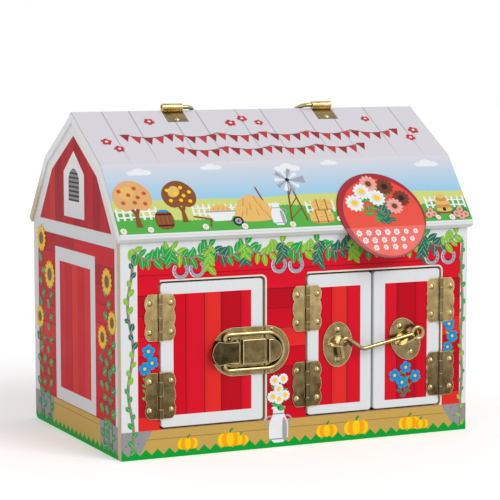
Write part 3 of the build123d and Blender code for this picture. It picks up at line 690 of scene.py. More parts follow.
# %% A tree of nodes with named sizes
KINDS = {float: "NodeSocketFloat", int: "NodeSocketInt", tuple: "NodeSocketColor"}
SKIN = 0.24  # mm, half of it inside the board


class Growth(Graph):
    """A Geometry Nodes tree. sizes are its named inputs with their usual values."""

    def __init__(self, name, **sizes):
        super().__init__(bpy.data.node_groups.new(name, "GeometryNodeTree"))
        face = self.tree.interface
        face.new_socket("Geometry", in_out="OUTPUT", socket_type="NodeSocketGeometry")
        face.new_socket("Geometry", in_out="INPUT", socket_type="NodeSocketGeometry")
        self.labels = {}
        for label, value in sizes.items():
            made = face.new_socket(label, in_out="INPUT", socket_type=KINDS[type(value)])
            made.default_value = value
            self.labels[label] = made.identifier
        given = self.node("NodeGroupInput").outputs
        self.given = {
            label: given[label] if type(value) is tuple else Sum(self, given[label])
            for label, value in sizes.items()
        }
        self.path = given["Geometry"]
        self.line = self.shape("GeometryNodeMeshToCurve", None, {0: self.path})

    def shape(self, kind, settings=None, inputs=None, output=0):
        return self.node(kind, settings, inputs).outputs[output]

    def chance(self, low, high, seed, identity=None):
        values = {2: low, 3: high, 8: seed}
        if identity is not None:
            values[7] = identity
        return self.number("FunctionNodeRandomValue", {"data_type": "FLOAT"}, values, 1)

    def keep(self, geometry, name, value, kind, domain="POINT"):
        settings = {"data_type": kind, "domain": domain}
        values = {"Geometry": geometry, "Name": name, "Value": value}
        return self.shape("GeometryNodeStoreNamedAttribute", settings, values)

    def stem(self, width, colour, up=0.0):
        """A flat ribbon along the path, moved up by so many millimetres."""
        flat = self.shape("GeometryNodeSetCurveNormal", {"mode": "Z_UP"}, {0: self.line})
        values = {"Curve": flat, "Length": 2.0}
        even = self.shape("GeometryNodeResampleCurve", {"mode": "LENGTH"}, values)
        even = self.shape("GeometryNodeSetPosition", None, {"Geometry": even, "Offset": (0.0, up, 0.0)})
        tape = self.shape("GeometryNodeCurvePrimitiveQuadrilateral", None, {"Width": width, "Height": SKIN})
        values = {"Curve": even, "Profile Curve": tape, "Fill Caps": True}
        return self.keep(self.shape("GeometryNodeCurveToMesh", None, values), "ink", colour, "FLOAT_COLOR")

    def cuts(self, spacing):
        """Points along the path, and the angle of the path at each of them."""
        values = {"Curve": self.line, "Length": spacing}
        cut = self.node("GeometryNodeCurveToPoints", {"mode": "LENGTH"}, values)
        dx, dy, _ = self.parts(cut.outputs["Tangent"])
        return cut.outputs["Points"], dy.maths("ARCTAN2", dx)

    def disc(self, sides):
        values = {"Vertices": sides, "Radius": 1.0, "Depth": 1.0}
        made = self.shape("GeometryNodeMeshCylinder", {"fill_type": "TRIANGLE_FAN"}, values)
        return (made, *self.parts(self.shape("GeometryNodeInputPosition")))

    def moved(self, geometry, x, y, z):
        values = {"Geometry": geometry, "Position": self.point(x, y, z)}
        return self.shape("GeometryNodeSetPosition", None, values)

    def blade(self, length, width, waist=0.0, tip=1.35, kind=1.0):
        """A flat leaf from the origin along x. kind is 1 for a leaf with ribs, 0.5 for a petal."""
        disc, x, y, z = self.disc(12)
        disc = self.keep(disc, "leaf", self.point(x, y, kind), "FLOAT_VECTOR")
        pinched = abs(y).maths("POWER", tip) * y.maths("SIGN") * (1.0 - x * waist)
        return self.moved(disc, (x + 1.0) * 0.5 * length, pinched * 0.5 * width, z * SKIN)

    def spread(self, points, piece, angle, size, lift):
        """Sets a piece on every point, turned by an angle and raised by a lift in millimetres."""
        values = {
            "Points": points, "Instance": piece,
            "Rotation": self.point(0.0, 0.0, angle), "Scale": self.point(size, size, 1.0),
        }
        placed = self.shape("GeometryNodeInstanceOnPoints", None, values)
        lifted = {"Instances": placed, "Translation": self.point(0.0, 0.0, lift)}
        return self.shape("GeometryNodeTranslateInstances", None, lifted)

    def finished(self, *geometry):
        """Joins everything, raises it to its own level and gives it its material."""
        joined = self.shape("GeometryNodeJoinGeometry", None, {0: list(geometry)})
        real = self.shape("GeometryNodeRealizeInstances", None, {0: joined})
        level = self.point(0.0, 0.0, self.given["level"])
        raised = self.shape("GeometryNodeSetPosition", None, {"Geometry": real, "Offset": level})
        values = {"Geometry": raised, "Material": small_print}
        self.node("NodeGroupOutput", None, {0: self.shape("GeometryNodeSetMaterial", None, values)})
        return self

    def grown(self, name, points, edges=(), **sizes):
        """Grows it on flat points, in millimetres, and returns the plain object."""
        places = bpy.data.meshes.new(name)
        places.from_pydata([(*p, 0) for p in points], list(edges), [])
        host = bpy.data.objects.new(name, places)
        bpy.context.scene.collection.objects.link(host)
        growing = host.modifiers.new("growth", "NODES")
        growing.node_group = self.tree
        for label, value in sizes.items():
            growing[self.labels[label]] = value
        graph = bpy.context.evaluated_depsgraph_get()
        host.data = bpy.data.meshes.new_from_object(host.evaluated_get(graph), depsgraph=graph)
        host.modifiers.clear()
        while host.data.materials[0] is None:
            host.data.materials.pop(index=0)
        return host


# %% Pressing a print on its board
BEND_LINE = -TAG_UP - 0.063  # where the tag's outer face bends over the eave
DROOP = math.radians(12.0)


def over_the_eave(x, y, z):
    """Follows the tag's bend."""
    past = BEND_LINE - y
    if past <= 0:
        return x, y, z
    sine, cosine = math.sin(DROOP), math.cos(DROOP)
    return x, BEND_LINE - past * cosine - z * sine, z * cosine - past * sine


def pressed(piece, face, body):
    """Carries a flat print onto a face and lets it ride with that board's body."""
    wide, high = ([round(f([v.co[i] for v in piece.data.vertices]), 1) for f in (min, max)] for i in (0, 1))
    if face == "tag":
        for point in piece.data.vertices:
            point.co = over_the_eave(*point.co)
    piece.data.transform(FACES[face])
    piece.data.update()
    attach(piece, body)
    print(piece.name, "on", face, "across", wide, "up", high, "faces", len(piece.data.polygons))
    return piece


# %% Leafy vine
LIME, LEAF_GREEN, TEAL = ink(128, 190, 30), ink(10, 160, 62), ink(0, 104, 84)
VINE = ink(156, 134, 118)


def leafy_vine():
    g = Growth(
        "leafy_vine", stem_ink=VINE, ink_1=LIME, ink_2=LEAF_GREEN, ink_3=TEAL, stem_width=1.4,
        spacing=4.0, leaf_length=9.0, leaf_width=5.0, lean=1.0, cluster=12.0, level=0.0, seed=3,
    )
    size = g.given
    points, ahead = g.cuts(size["spacing"])
    index = g.number("GeometryNodeInputIndex")
    side = (index.maths("MODULO", 2.0) - 0.5) * 2.0
    angle = ahead + side * size["lean"] + g.chance(-0.25, 0.25, size["seed"])
    leaf = g.blade(size["leaf_length"], size["leaf_width"], 0.25)
    lift = index.maths("MODULO", 23.0) * 0.004 + 0.02
    leaves = g.spread(points, leaf, angle, g.chance(0.8, 1.15, size["seed"] + 1.0), lift)
    x, y, _ = g.parts(g.shape("GeometryNodeInputPosition"))
    patch = (x / size["cluster"]).maths("FLOOR") + (y / size["cluster"]).maths("FLOOR") * 7.0
    draw = g.chance(0.0, 1.0, size["seed"] + 2.0, patch)
    shade = g.over(size["ink_1"], size["ink_2"], draw.above(0.36, 0.001))
    shade = g.over(shade, size["ink_3"], draw.above(0.72, 0.001))
    leaves = g.keep(leaves, "ink", shade, "FLOAT_COLOR", "INSTANCE")
    return g.finished(g.stem(size["stem_width"], size["stem_ink"]), leaves)


vine = leafy_vine()


def path(*lines):
    """Points and edges of one or more open lines."""
    points, edges = [], []
    for line in lines:
        edges += [(len(points) + i, len(points) + i + 1) for i in range(len(line) - 1)]
        points += line
    return points, edges


# %% [markdown]
# ## The garland under the eave
# A garland hangs in even swags along the white board under the eave, and from each of its nails
# a short strand of leaves hangs down. A swag is a parabola. Both corner posts carry a vine that
# climbs in a slow wave. Written as a rule, the whole layout is six numbers.

# %% Garland and post vines
SWAGS, SWAG_TOP, SWAG_SAG = 9, 154.0, 9.0
GARLAND_X = (-134.5, 134.0)
swag_long = (GARLAND_X[1] - GARLAND_X[0]) / SWAGS


def swag(x0, x1, top, sag, steps=14):
    """A hanging line between two nails, without its last point."""
    return [(x0 + (x1 - x0) * i / steps, top - sag * 4 * (i / steps) * (1 - i / steps)) for i in range(steps)]


def wave(x, sway, z0, z1, turns, steps=40):
    """A line that climbs from z0 to z1 and swings from side to side."""
    return [(x + sway * math.sin(2 * math.pi * turns * i / steps), z0 + (z1 - z0) * i / steps) for i in range(steps + 1)]


nails = [GARLAND_X[0] + swag_long * i for i in range(SWAGS + 1)]
swags = sum((swag(a, b, SWAG_TOP, SWAG_SAG) for a, b in zip(nails, nails[1:])), []) + [(nails[-1], SWAG_TOP)]
strands = [[(x, SWAG_TOP - 1 - 3 * i) for i in range(4 + (k * 2) % 3)] for k, x in enumerate(nails[1:-1])]
garland = vine.grown("front_garland", *path(swags), spacing=2.5, leaf_length=8.5, leaf_width=4.6, lean=1.15)
pressed(garland, "front", "barn_shell")
hanging = vine.grown(
    "front_strands", *path(*strands),
    spacing=2.2, leaf_length=7.5, leaf_width=4.4, lean=0.75, level=0.101, seed=11,
)
pressed(hanging, "front", "barn_shell")
posts = (("left", wave(-136.3, 2.0, 4.0, 146.0, 2.3), 5.6), ("right", wave(138.9, -0.7, 4.0, 146.0, 2.6), 4.3))
for side, line, leaf in posts:
    climbing = vine.grown(
        side + "_post_vine", *path(line), spacing=6.5, leaf_length=leaf, leaf_width=leaf * 0.7, lean=0.6,
        cluster=26.0, level=-0.0013, seed=5, stem_width=2.1,
    )
    pressed(climbing, "front", "barn_shell")

# %% [markdown]
# ## Blossoms
# A flower head is a ring of petals round a heart. The petals are set on the points of a small
# circle and turned outwards, and the finished head is set on every point that the tree is given.
# The same tree makes daisies, small blue flowers and roses, by its petal count and inks.

# %% Blossoms
BUTTER, UMBER = ink(252, 206, 6), ink(118, 66, 26)
CHALK, CORNFLOWER, ROSE = ink(238, 238, 240), ink(22, 150, 216), ink(240, 168, 158)
LEAF_DARK, RUST, ASH, COAL = ink(22, 146, 66), ink(186, 92, 40), ink(160, 163, 172), ink(34, 32, 34)


def blossoms():
    g = Growth(
        "blossoms", petal_ink=CHALK, heart_ink=BUTTER, petals=9, petal_length=3.4,
        petal_width=2.0, heart=1.5, level=0.0, seed=2,
    )
    size = g.given
    values = {"Vertices": size["petals"], "Radius": size["heart"] * 0.6}
    ring = g.shape("GeometryNodeMeshCircle", {"fill_type": "NONE"}, values)
    x, y, _ = g.parts(g.shape("GeometryNodeInputPosition"))
    index = g.number("GeometryNodeInputIndex")
    petal = g.blade(size["petal_length"], size["petal_width"], -0.3, 1.0, 0.5)
    petal = g.keep(petal, "ink", size["petal_ink"], "FLOAT_COLOR")
    petals = g.spread(ring, petal, y.maths("ARCTAN2", x), 1.0, index * 0.0031)
    disc, x, y, z = g.disc(16)
    radius = size["heart"]
    heart = g.moved(disc, x * radius, y * radius, z * SKIN + size["petals"] * 0.0031 + 0.004)
    heart = g.keep(heart, "ink", size["heart_ink"], "FLOAT_COLOR")
    head = g.shape("GeometryNodeJoinGeometry", None, {0: [petals, heart]})
    turn, grow = g.chance(0.0, 6.28, size["seed"]), g.chance(0.86, 1.12, size["seed"] + 1.0)
    lift = index.maths("MODULO", 4.0) * 0.07
    return g.finished(g.spread(g.path, head, turn, grow, lift))


blossom = blossoms()

# %% [markdown]
# ## Bunting and a picket fence
# Two more things repeat along a line. A string of pennants crosses the upper roof, and a low
# white fence stands in the meadow. A pennant is a flat cylinder of three sides, and a picket is
# a flat box whose upper corners are drawn together.

# %% Bunting and pickets
PENNANT, PENNANT_DARK, PENNANT_STRING = ink(160, 32, 44), ink(196, 50, 56), ink(120, 84, 80)
PICKET = ink(236, 236, 238)


def bunting():
    g = Growth(
        "bunting", ink_1=PENNANT, ink_2=PENNANT_DARK, string_ink=PENNANT_STRING,
        string=0.8, spacing=9.0, flag_width=7.8, flag_length=9.6, level=0.0,
    )
    size = g.given
    flag, x, y, z = g.disc(3)
    flag = g.moved(flag, y / 1.732 * size["flag_width"], (x + 0.5) / -1.5 * size["flag_length"], z * SKIN)
    points, _ = g.cuts(size["spacing"])
    flags = g.spread(points, flag, 0.0, 1.0, -0.006)
    odd = g.number("GeometryNodeInputIndex").maths("MODULO", 2.0)
    flags = g.keep(flags, "ink", g.over(size["ink_1"], size["ink_2"], odd), "FLOAT_COLOR", "INSTANCE")
    return g.finished(g.stem(size["string"], size["string_ink"]), flags)


def picket_fence():
    g = Growth("picket_fence", wood_ink=PICKET, board=1.7, gap=4.4, tall=11.0, rail=1.3, level=0.0)
    size = g.given
    across = g.point(size["board"], size["tall"], SKIN)
    values = {"Size": across, "Vertices X": 2, "Vertices Y": 3, "Vertices Z": 2}
    slat = g.shape("GeometryNodeMeshCube", None, values)
    x, y, z = g.parts(g.shape("GeometryNodeInputPosition"))
    top, middle = y.above(size["tall"] * 0.25, 0.01), abs(y).below(size["tall"] * 0.25, 0.01)
    slat = g.moved(slat, x * (1.0 - top * 0.85), y + size["tall"] * (middle * 0.34 + 0.5), z + 0.004)
    points, _ = g.cuts(size["gap"])
    slats = g.keep(g.spread(points, slat, 0.0, 1.0, 0.0), "ink", size["wood_ink"], "FLOAT_COLOR", "INSTANCE")
    rails = [g.stem(size["rail"], size["wood_ink"], up) for up in (2.6, 7.2)]
    return g.finished(*rails, slats)


pennants, pickets = bunting(), picket_fence()
print("trees:", [tree.name for tree in bpy.data.node_groups])

# %% [markdown]
# ## Drawing with outlines
# The larger pictures are drawn as a printer would cut them: a few flat shapes in plain inks, one
# laid over the other. They could be painted in the shader too, but an outline is easier to draw
# as a list of corners. Every outline becomes a closed plate, and each plate of a picture ends a
# few thousandths of a millimetre above the one under it.

# %% Outlines
def oval(x, y, wide, tall=None, turn=0.0, steps=18):
    """An ellipse from its middle and half sizes. turn is in degrees."""
    tall = wide if tall is None else tall
    c, s = math.cos(math.radians(turn)), math.sin(math.radians(turn))
    sides = [(wide * math.cos(2 * math.pi * i / steps), tall * math.sin(2 * math.pi * i / steps)) for i in range(steps)]
    return [(x + a * c - b * s, y + a * s + b * c) for a, b in sides]


def block(x0, y0, x1, y1):
    return [(x0, y0), (x1, y0), (x1, y1), (x0, y1)]


def smooth(points, rounds=2):
    """Cuts the corners of an outline until it is round."""
    for _ in range(rounds):
        pairs = list(zip(points, points[1:] + points[:1]))
        points = [(p[0] * k + q[0] * (1 - k), p[1] * k + q[1] * (1 - k)) for p, q in pairs for k in (0.75, 0.25)]
    return points


def band(line, width):
    """A stroke of even width along a line."""
    left, right = [], []
    for i, (x, y) in enumerate(line):
        (ax, ay), (bx, by) = line[max(i - 1, 0)], line[min(i + 1, len(line) - 1)]
        long = math.hypot(bx - ax, by - ay)
        nx, ny = (ay - by) / long * width / 2, (bx - ax) / long * width / 2
        left.append((x + nx, y + ny))
        right.append((x - nx, y - ny))
    return left + right[::-1]


def arc(x, y, radius, start, end, steps=14):
    angles = [math.radians(start + (end - start) * i / steps) for i in range(steps + 1)]
    return [(x + radius * math.cos(a), y + radius * math.sin(a)) for a in angles]


class Picture:
    """Flat plates of ink for one face of the barn."""

    RISE = 0.003  # mm from one plate's top to the next

    def __init__(self, lowest=0.1305):
        self.points, self.faces, self.inks, self.lowest = [], [], [], lowest

    def at(self, x, y, size=1.0, mirror=False):
        """The next shapes are drawn from here, and lie on the board again."""
        self.x, self.y, self.size, self.flip, self.top = x, y, size, -1 if mirror else 1, self.lowest
        return self

    def fill(self, colour, *outlines):
        for outline in outlines:
            corners = [(self.x + self.size * self.flip * a, self.y + self.size * b) for a, b in outline]
            pairs = list(zip(corners, corners[1:] + corners[:1]))
            if sum(p[0] * q[1] - q[0] * p[1] for p, q in pairs) < 0:
                corners = corners[::-1]
            first, count = len(self.points), len(corners)
            self.points += [(*p, self.top) for p in corners] + [(*p, -SKIN / 2) for p in corners]
            self.inks += [colour] * (2 * count)
            self.faces.append(list(range(first, first + count)))
            self.faces.append(list(range(first + 2 * count - 1, first + count - 1, -1)))
            for i in range(count):
                j = (i + 1) % count
                self.faces.append([first + i, first + count + i, first + count + j, first + j])
            self.top += self.RISE
        return self

    def cut(self, name):
        """Makes the closed plates, with their inks, as one object."""
        made = bpy.data.meshes.new(name)
        made.from_pydata(self.points, [], self.faces)
        inks = made.attributes.new("ink", "FLOAT_COLOR", "POINT")
        inks.data.foreach_set("color", [part for colour in self.inks for part in colour])
        made.materials.append(small_print)
        piece = bpy.data.objects.new(name, made)
        bpy.context.scene.collection.objects.link(piece)
        return piece


# %% [markdown]
# ## Things of the farmyard
# Each picture is a small function that draws round its own foot, so it can stand anywhere, in any
# size, and look either way.

# %% Farmyard pictures
STRAW, STRAW_DARK, TIMBER, TAN = ink(228, 184, 106), ink(200, 146, 76), ink(134, 80, 46), ink(222, 170, 112)
MILK, ORANGE_SKIN = ink(232, 234, 238), ink(242, 166, 26)


def hay_bale(p, x, y, size=1.0):
    p.at(x, y, size).fill(STRAW, smooth(block(0, 0, 22, 13), 1)).fill(STRAW_DARK, block(1.4, 0.5, 20.6, 2.2))
    p.fill(TIMBER, block(6, 0.2, 7, 12.8), block(15, 0.2, 16, 12.8))
    p.fill(STRAW_DARK, *(band([(a, b), (a + 3.4, b + 0.8)], 0.5) for a, b in ((2, 9), (9, 6), (11, 10), (17, 7), (3, 5))))


def churn(p, x, y, size=1.0):
    p.at(x, y, size).fill(ASH, band(arc(-5.2, 12.2, 2.6, 60, 290), 0.9), band(arc(5.2, 12.2, 2.6, -110, 120), 0.9))
    p.fill(MILK, smooth([(-5.6, 0), (5.6, 0), (6, 11), (3.2, 15.5), (3.4, 19), (-3.4, 19), (-3.2, 15.5), (-6, 11)], 1))
    p.fill(ASH, smooth([(2.4, 0.7), (5, 0.7), (5.3, 10.6), (2.8, 14.8), (2.2, 10)], 1), block(-3.4, 15.6, 3.4, 16.4))
    p.fill(ASH, block(-5.5, 1.6, 5.5, 2.4)).fill(MILK, oval(0, 19.3, 4.2, 1.3))


def haystack(p, x, y, size=1.0):
    p.at(x, y, size).fill(TIMBER, band([(13, 0), (6, 27)], 1.1))
    p.fill(STRAW, smooth([(-15, 0), (15, 0), (14, 9), (8, 18), (0, 22), (-8, 18), (-14, 9)]))
    p.fill(STRAW_DARK, *(band([(a, b), (a * 0.7, b + 6)], 0.7) for a, b in ((-11, 2), (-6, 5), (-2, 9), (3, 4), (7, 8), (11, 2), (-7, 12), (4, 14))))


def barrel(p, x, y, size=1.0):
    p.at(x, y, size).fill(TIMBER, smooth([(-6, 0), (6, 0), (8, 8.5), (6, 17), (-6, 17), (-8, 8.5)], 2))
    p.fill(RUST, block(-1.8, 0.4, -1.2, 16.6), block(2, 0.4, 2.6, 16.6), block(-5, 1, -4.5, 16))
    p.fill(COAL, block(-6.3, 2.8, 6.3, 4.2), block(-6.3, 12.8, 6.3, 14.2)).fill(CORNFLOWER, oval(0, 16.6, 4.8, 1.1))


def barrow(p, x, y, size=1.0, mirror=False):
    p.at(x, y, size, mirror).fill(STRAW, smooth([(-9, 10), (12, 10), (9, 18), (1, 21), (-7, 17)]))
    p.fill(STRAW_DARK, *(band([(a, 12), (a + 1.5, 17.5)], 0.6) for a in (-5, -1, 3, 7)))
    p.fill(TIMBER, band([(-22, 10), (-8, 7), (14, 4)], 1.4), band([(-8, 7), (-10, 0)], 1.4))
    p.fill(MILK, [(-11, 14), (14, 14), (8, 5), (-6, 5)]).fill(ASH, block(-11, 13, 14, 14.2))
    p.fill(COAL, oval(14, 4.2, 4.4)).fill(ASH, oval(14, 4.2, 2.8)).fill(COAL, oval(14, 4.2, 0.9))


def fruit_tree(p, x, y, size=1.0, crown=TAN, fruit=RUST):
    p.at(x, y, size).fill(TIMBER, [(-2.2, 0), (2.4, 0), (1.4, 9), (4.5, 17), (2.8, 18), (0, 12.5), (-3, 18), (-4.4, 17), (-1.2, 9)])
    p.fill(crown, smooth([(-12, 16), (-6, 12), (0, 15), (7, 12), (13, 17), (14, 26), (8, 34), (0, 37), (-9, 33), (-14, 25)]))
    p.fill(STRAW, smooth([(-9, 24), (-4, 21), (2, 25), (1, 31), (-5, 32)]))
    p.fill(fruit, *(oval(a, b, 1.5) for a, b in ((-7, 19), (1, 19), (8, 18), (9, 26), (3, 30), (-8, 28), (-2, 25), (4, 23))))


def wind_pump(p, x, y, size=1.0):
    p.at(x, y, size).fill(TIMBER, band([(-6, 0), (-0.6, 32)], 1.2), band([(6, 0), (0.6, 32)], 1.2))
    p.fill(TIMBER, *(band([(-w, h), (w * 0.72, h + 8)], 0.8) for w, h in ((5.4, 2), (4.0, 11), (2.6, 20))))
    p.fill(ASH, [(1, 33), (13, 36.5), (13, 30.5)], band([(0, 33.4), (8, 33.4)], 1.0))
    for k in range(10):
        a = math.radians(36 * k)
        tip = [(9.5 * math.cos(a + s), 33.4 + 9.5 * math.sin(a + s)) for s in (-0.22, 0.12)]
        p.fill(MILK if k % 2 else ASH, [(0.5 * math.cos(a), 33.4 + 0.5 * math.sin(a)), *tip])
    p.fill(COAL, oval(0, 33.4, 1.5))


def beehive(p, x, y, size=1.0):
    p.at(x, y, size).fill(TIMBER, block(-9, 0, 9, 1.8), block(-7.4, -3.6, -6, 0.4), block(6, -3.6, 7.4, 0.4))
    rows = ((7.6, 4), (8, 7.6), (7.2, 11.2), (5.8, 14.6), (3.4, 17.4))
    for k, (wide, high) in enumerate(rows):
        p.fill(STRAW_DARK if k % 2 else STRAW, oval(0, high, wide, 2.5))
    p.fill(COAL, oval(0, 4.2, 1.7, 1.9))


def pumpkin(p, x, y, size=1.0):
    p.at(x, y, size).fill(BUTTER, oval(-4.6, 4.4, 3.4, 4), oval(4.6, 4.4, 3.4, 4))
    p.fill(ORANGE_SKIN, oval(-2.5, 4.5, 3, 4.3), oval(2.5, 4.5, 3, 4.3)).fill(BUTTER, oval(0, 4.6, 2.4, 4.5))
    p.fill(LEAF_DARK, band([(0, 8.4), (0.4, 10), (1.8, 11)], 1.2))


def horseshoe(p, x, y, size=1.0, turn=0):
    p.at(x, y, size).fill(ASH, band(arc(0, 0, 5.4, turn - 225, turn + 45, 22), 2.9))
    nails_at = [math.radians(turn + a) for a in (-205, -175, -145, -35, -5, 25)]
    p.fill(COAL, *(oval(5.4 * math.cos(a), 5.4 * math.sin(a), 0.42, steps=8) for a in nails_at))
    p.fill(MILK, band(arc(0, 0, 6.5, turn - 215, turn - 120, 10), 0.5))


def cloud(p, x, y, size=1.0):
    p.at(x, y, size).fill(MILK, *(oval(a, b, c, d) for a, b, c, d in ((-7, 1, 5, 2.6), (0, 2.4, 6, 4), (7, 1.2, 5.4, 2.8), (1, 0.2, 11, 1.8))))


def bush(p, x, y, size=1.0):
    p.at(x, y, size).fill(LEAF_DARK, smooth([(-13, 0), (13, 0), (15, 9), (9, 18), (0, 21), (-9, 17), (-15, 8)]))


# %% [markdown]
# ## The picture on the roof
# The meadow of the card is filled from end to end: fruit trees in autumn brown, bales and a
# haystack, a barrow, churns, a wind pump and a rose bush, with a fence behind them. The order is
# a list, so a thing can be moved by changing one number. The upper card carries the bunting.

# %% Roof pictures
fence = [[(-143.5, 15.0), (-113.0, 15.6)], [(-84.0, 16.4), (-22.0, 15.2)], [(8.0, 15.4), (30.0, 15.8)], [(110.0, 15.4), (143.2, 15.0)]]
pressed(pickets.grown("card_fence", *path(*fence), level=-0.0017), "slope", "barn_shell")
card = Picture()
for x, y, size in ((-118, 55, 0.8), (-60, 58, 0.7), (2, 55, 0.9), (38, 59, 0.6), (122, 55, 0.85)):
    cloud(card, x, y, size)
fruit_tree(card, -128.5, 9, 1.12, TAN)
barrel(card, -108, 6.5, 0.95)
fruit_tree(card, -92, 12, 1.0, TIMBER, BUTTER)
barrow(card, -64, 7, 0.95)
haystack(card, -36, 10, 1.12)
churn(card, -17.5, 6, 0.95)
wind_pump(card, -1, 9, 1.1)
hay_bale(card, 8, 6, 0.9)
hay_bale(card, 12, 17, 0.8)
beehive(card, 124, 10, 0.9)
bush(card, 137, 5, 0.55)
bush(card, 111, 6, 0.42)
pressed(card.cut("card_pictures"), "slope", "barn_shell")
white_daisies = [(-142, 6), (-121, 6.5), (-78, 7), (-47, 6), (-8, 6), (31.5, 9), (116, 6.5), (128, 6)]
daisies = blossom.grown("card_daisies", white_daisies, petal_length=1.9, petal_width=1.2, heart=0.9, level=0.301)
pressed(daisies, "slope", "barn_shell")
roses = [(133.2, 9), (137, 13), (140.8, 8.4), (136.6, 6.6), (108.6, 9), (113.4, 9.6), (111, 12.6)]
pressed(
    blossom.grown("card_roses", roses, petal_ink=ROSE, heart_ink=RUST, petals=6, petal_length=2.2, petal_width=2.2, heart=0.8, level=0.302),
    "slope", "barn_shell",
)
strings = [
    sum((swag(a, a + 38, 39.0, 5.0) for a in range(-114, 114, 38)), []) + [(114, 39.0)],
    sum((swag(a, a + 38, 20.0, 5.0) for a in range(-76, 76, 38)), []) + [(76, 20.0)],
]
pressed(pennants.grown("card_bunting", *path(*strings)), "upper", "barn_shell")
sprinkled = [(-131, 30), (-124, 20), (-88, 56), (-22, 52), (-10, 58), (2, 52), (96, 54), (131, 36), (124, 26)]
scattered = blossom.grown(
    "upper_card_flowers", sprinkled, petal_ink=ink(206, 44, 48), heart_ink=CHALK, petals=5,
    petal_length=3.2, petal_width=2.9, heart=1.2, level=0.131,
)
pressed(scattered, "upper", "barn_shell")

# %% [markdown]
# ## Flowers on the gables
# Tall yellow flowers stand beside each printed door, with round leaves along their stems. They
# are the blossom and vine trees again with other sizes, and both gables use one list.

# %% Gable flowers
GABLE_STEMS = ((70, 128, 1.0), (78, 99, -1.0), (-58, 120, -1.2), (-75, 147, 1.0), (-81, 84, 0.6), (60, 86, 0.8))
for name in ("left", "right"):
    lines = [[(y + sway * math.sin(k / 3), 5 + (z - 5) * k / 14) for k in range(15)] for y, z, sway in GABLE_STEMS]
    stems = vine.grown(
        name + "_gable_stems", *path(*lines), stem_ink=ink(20, 104, 60), ink_1=LEAF_DARK, ink_2=LEAF_GREEN,
        ink_3=ink(16, 122, 58), stem_width=0.9, spacing=8.5, leaf_length=8.2, leaf_width=6.6, lean=1.1, seed=21,
    )
    pressed(stems, name, "barn_shell")
    heads = [line[-1] for line in lines]
    flowers = blossom.grown(
        name + "_gable_flowers", heads, petal_ink=BUTTER, heart_ink=UMBER, petals=15,
        petal_length=7.4, petal_width=2.9, heart=4.6, level=0.131, seed=8,
    )
    pressed(flowers, name, "barn_shell")

# %% [markdown]
# ## Pictures on the front
# Between the doors stands a white churn full of daisies. Pumpkins sit along the sill, horseshoes
# hang above the doorways, and small blue flowers grow beside the left door and on the right one.

# %% Front pictures
front = Picture()
for x, z, size in ((-92, 4.5, 1.0), (-58, 3.6, 1.25), (-50, 4.2, 0.85), (22, 4, 1.1), (47, 3.6, 1.3), (93, 4, 1.15), (103, 3.6, 0.85)):
    pumpkin(front, x, z, size)
churn(front, -18.4, 3.5, 1.36)
pressed(front.cut("front_pictures"), "front", "barn_shell")
shoes = Picture(0.2605)
for x, z, turn in ((-97, 136.6, 0), (-84, 137.2, 12), (-18, 137.0, 0), (-4, 136.4, 14), (112, 137.0, 0), (126.5, 136.8, -12)):
    horseshoe(shoes, x, z, 0.95, turn)
pressed(shoes.cut("front_horseshoes"), "front", "barn_shell")
bunch = [(-18.4, 44), (-23.4, 38.4), (-13.2, 39), (-21.8, 50.6), (-14.6, 51.4), (-18.2, 36.4)]
stalks = [[(-18.4, 28), (x * 0.5 - 9.2, z * 0.5 + 14), (x, z)] for x, z in bunch[:5]]
greens = vine.grown("churn_leaves", *path(*stalks), stem_width=0.6, stem_ink=LEAF_DARK, spacing=3.2, leaf_length=5.4, leaf_width=2.6, level=0.12, seed=31)
pressed(greens, "front", "barn_shell")
pressed(blossom.grown("churn_daisies", bunch, petal_length=3.1, petal_width=1.9, heart=1.5, petals=11, level=0.261, seed=4), "front", "barn_shell")
blue = [(-122.5, 79), (-125.5, 66.5), (-119.8, 70.4), (127.6, 84), (130.6, 74.4), (126.4, 66)]
sprigs = [[(-123, 44), (-124, 56), (-122.5, 79)], [(-123, 44), (-125.5, 66.5)], [(128, 52), (127.6, 84)], [(128, 52), (130.6, 74.4)]]
small_leaves = dict(stem_width=0.6, stem_ink=LEAF_DARK, spacing=4.0, leaf_length=4.4, leaf_width=2.2, seed=41)
small_blue = dict(petal_ink=CORNFLOWER, heart_ink=BUTTER, petals=5, petal_length=4.0, petal_width=3.5, heart=1.1)
pressed(vine.grown("front_sprigs", *path(*sprigs), level=-0.0033, **small_leaves), "front", "barn_shell")
pressed(blossom.grown("front_blue_flowers", blue, level=0.141, **small_blue), "front", "barn_shell")
door_blue = [(80, 47), (89.6, 52.6), (97.8, 45.6), (86.4, 41.2)]
door_sprigs = [[(88, 30), (80, 47)], [(88, 30), (89, 40), (89.6, 52.6)], [(88, 30), (97.8, 45.6)]]
pressed(vine.grown("door_sprigs", *path(*door_sprigs), **small_leaves), "front", "right_door")
pressed(blossom.grown("door_blue_flowers", door_blue, level=0.131, **small_blue), "front", "right_door")

# %% [markdown]
# ## Daisies on the tag
# A loose bunch of white, brown and pink daisies fills the upper part of the tag, and rows of tiny
# white ones the lower part, where the card bends over the eave.

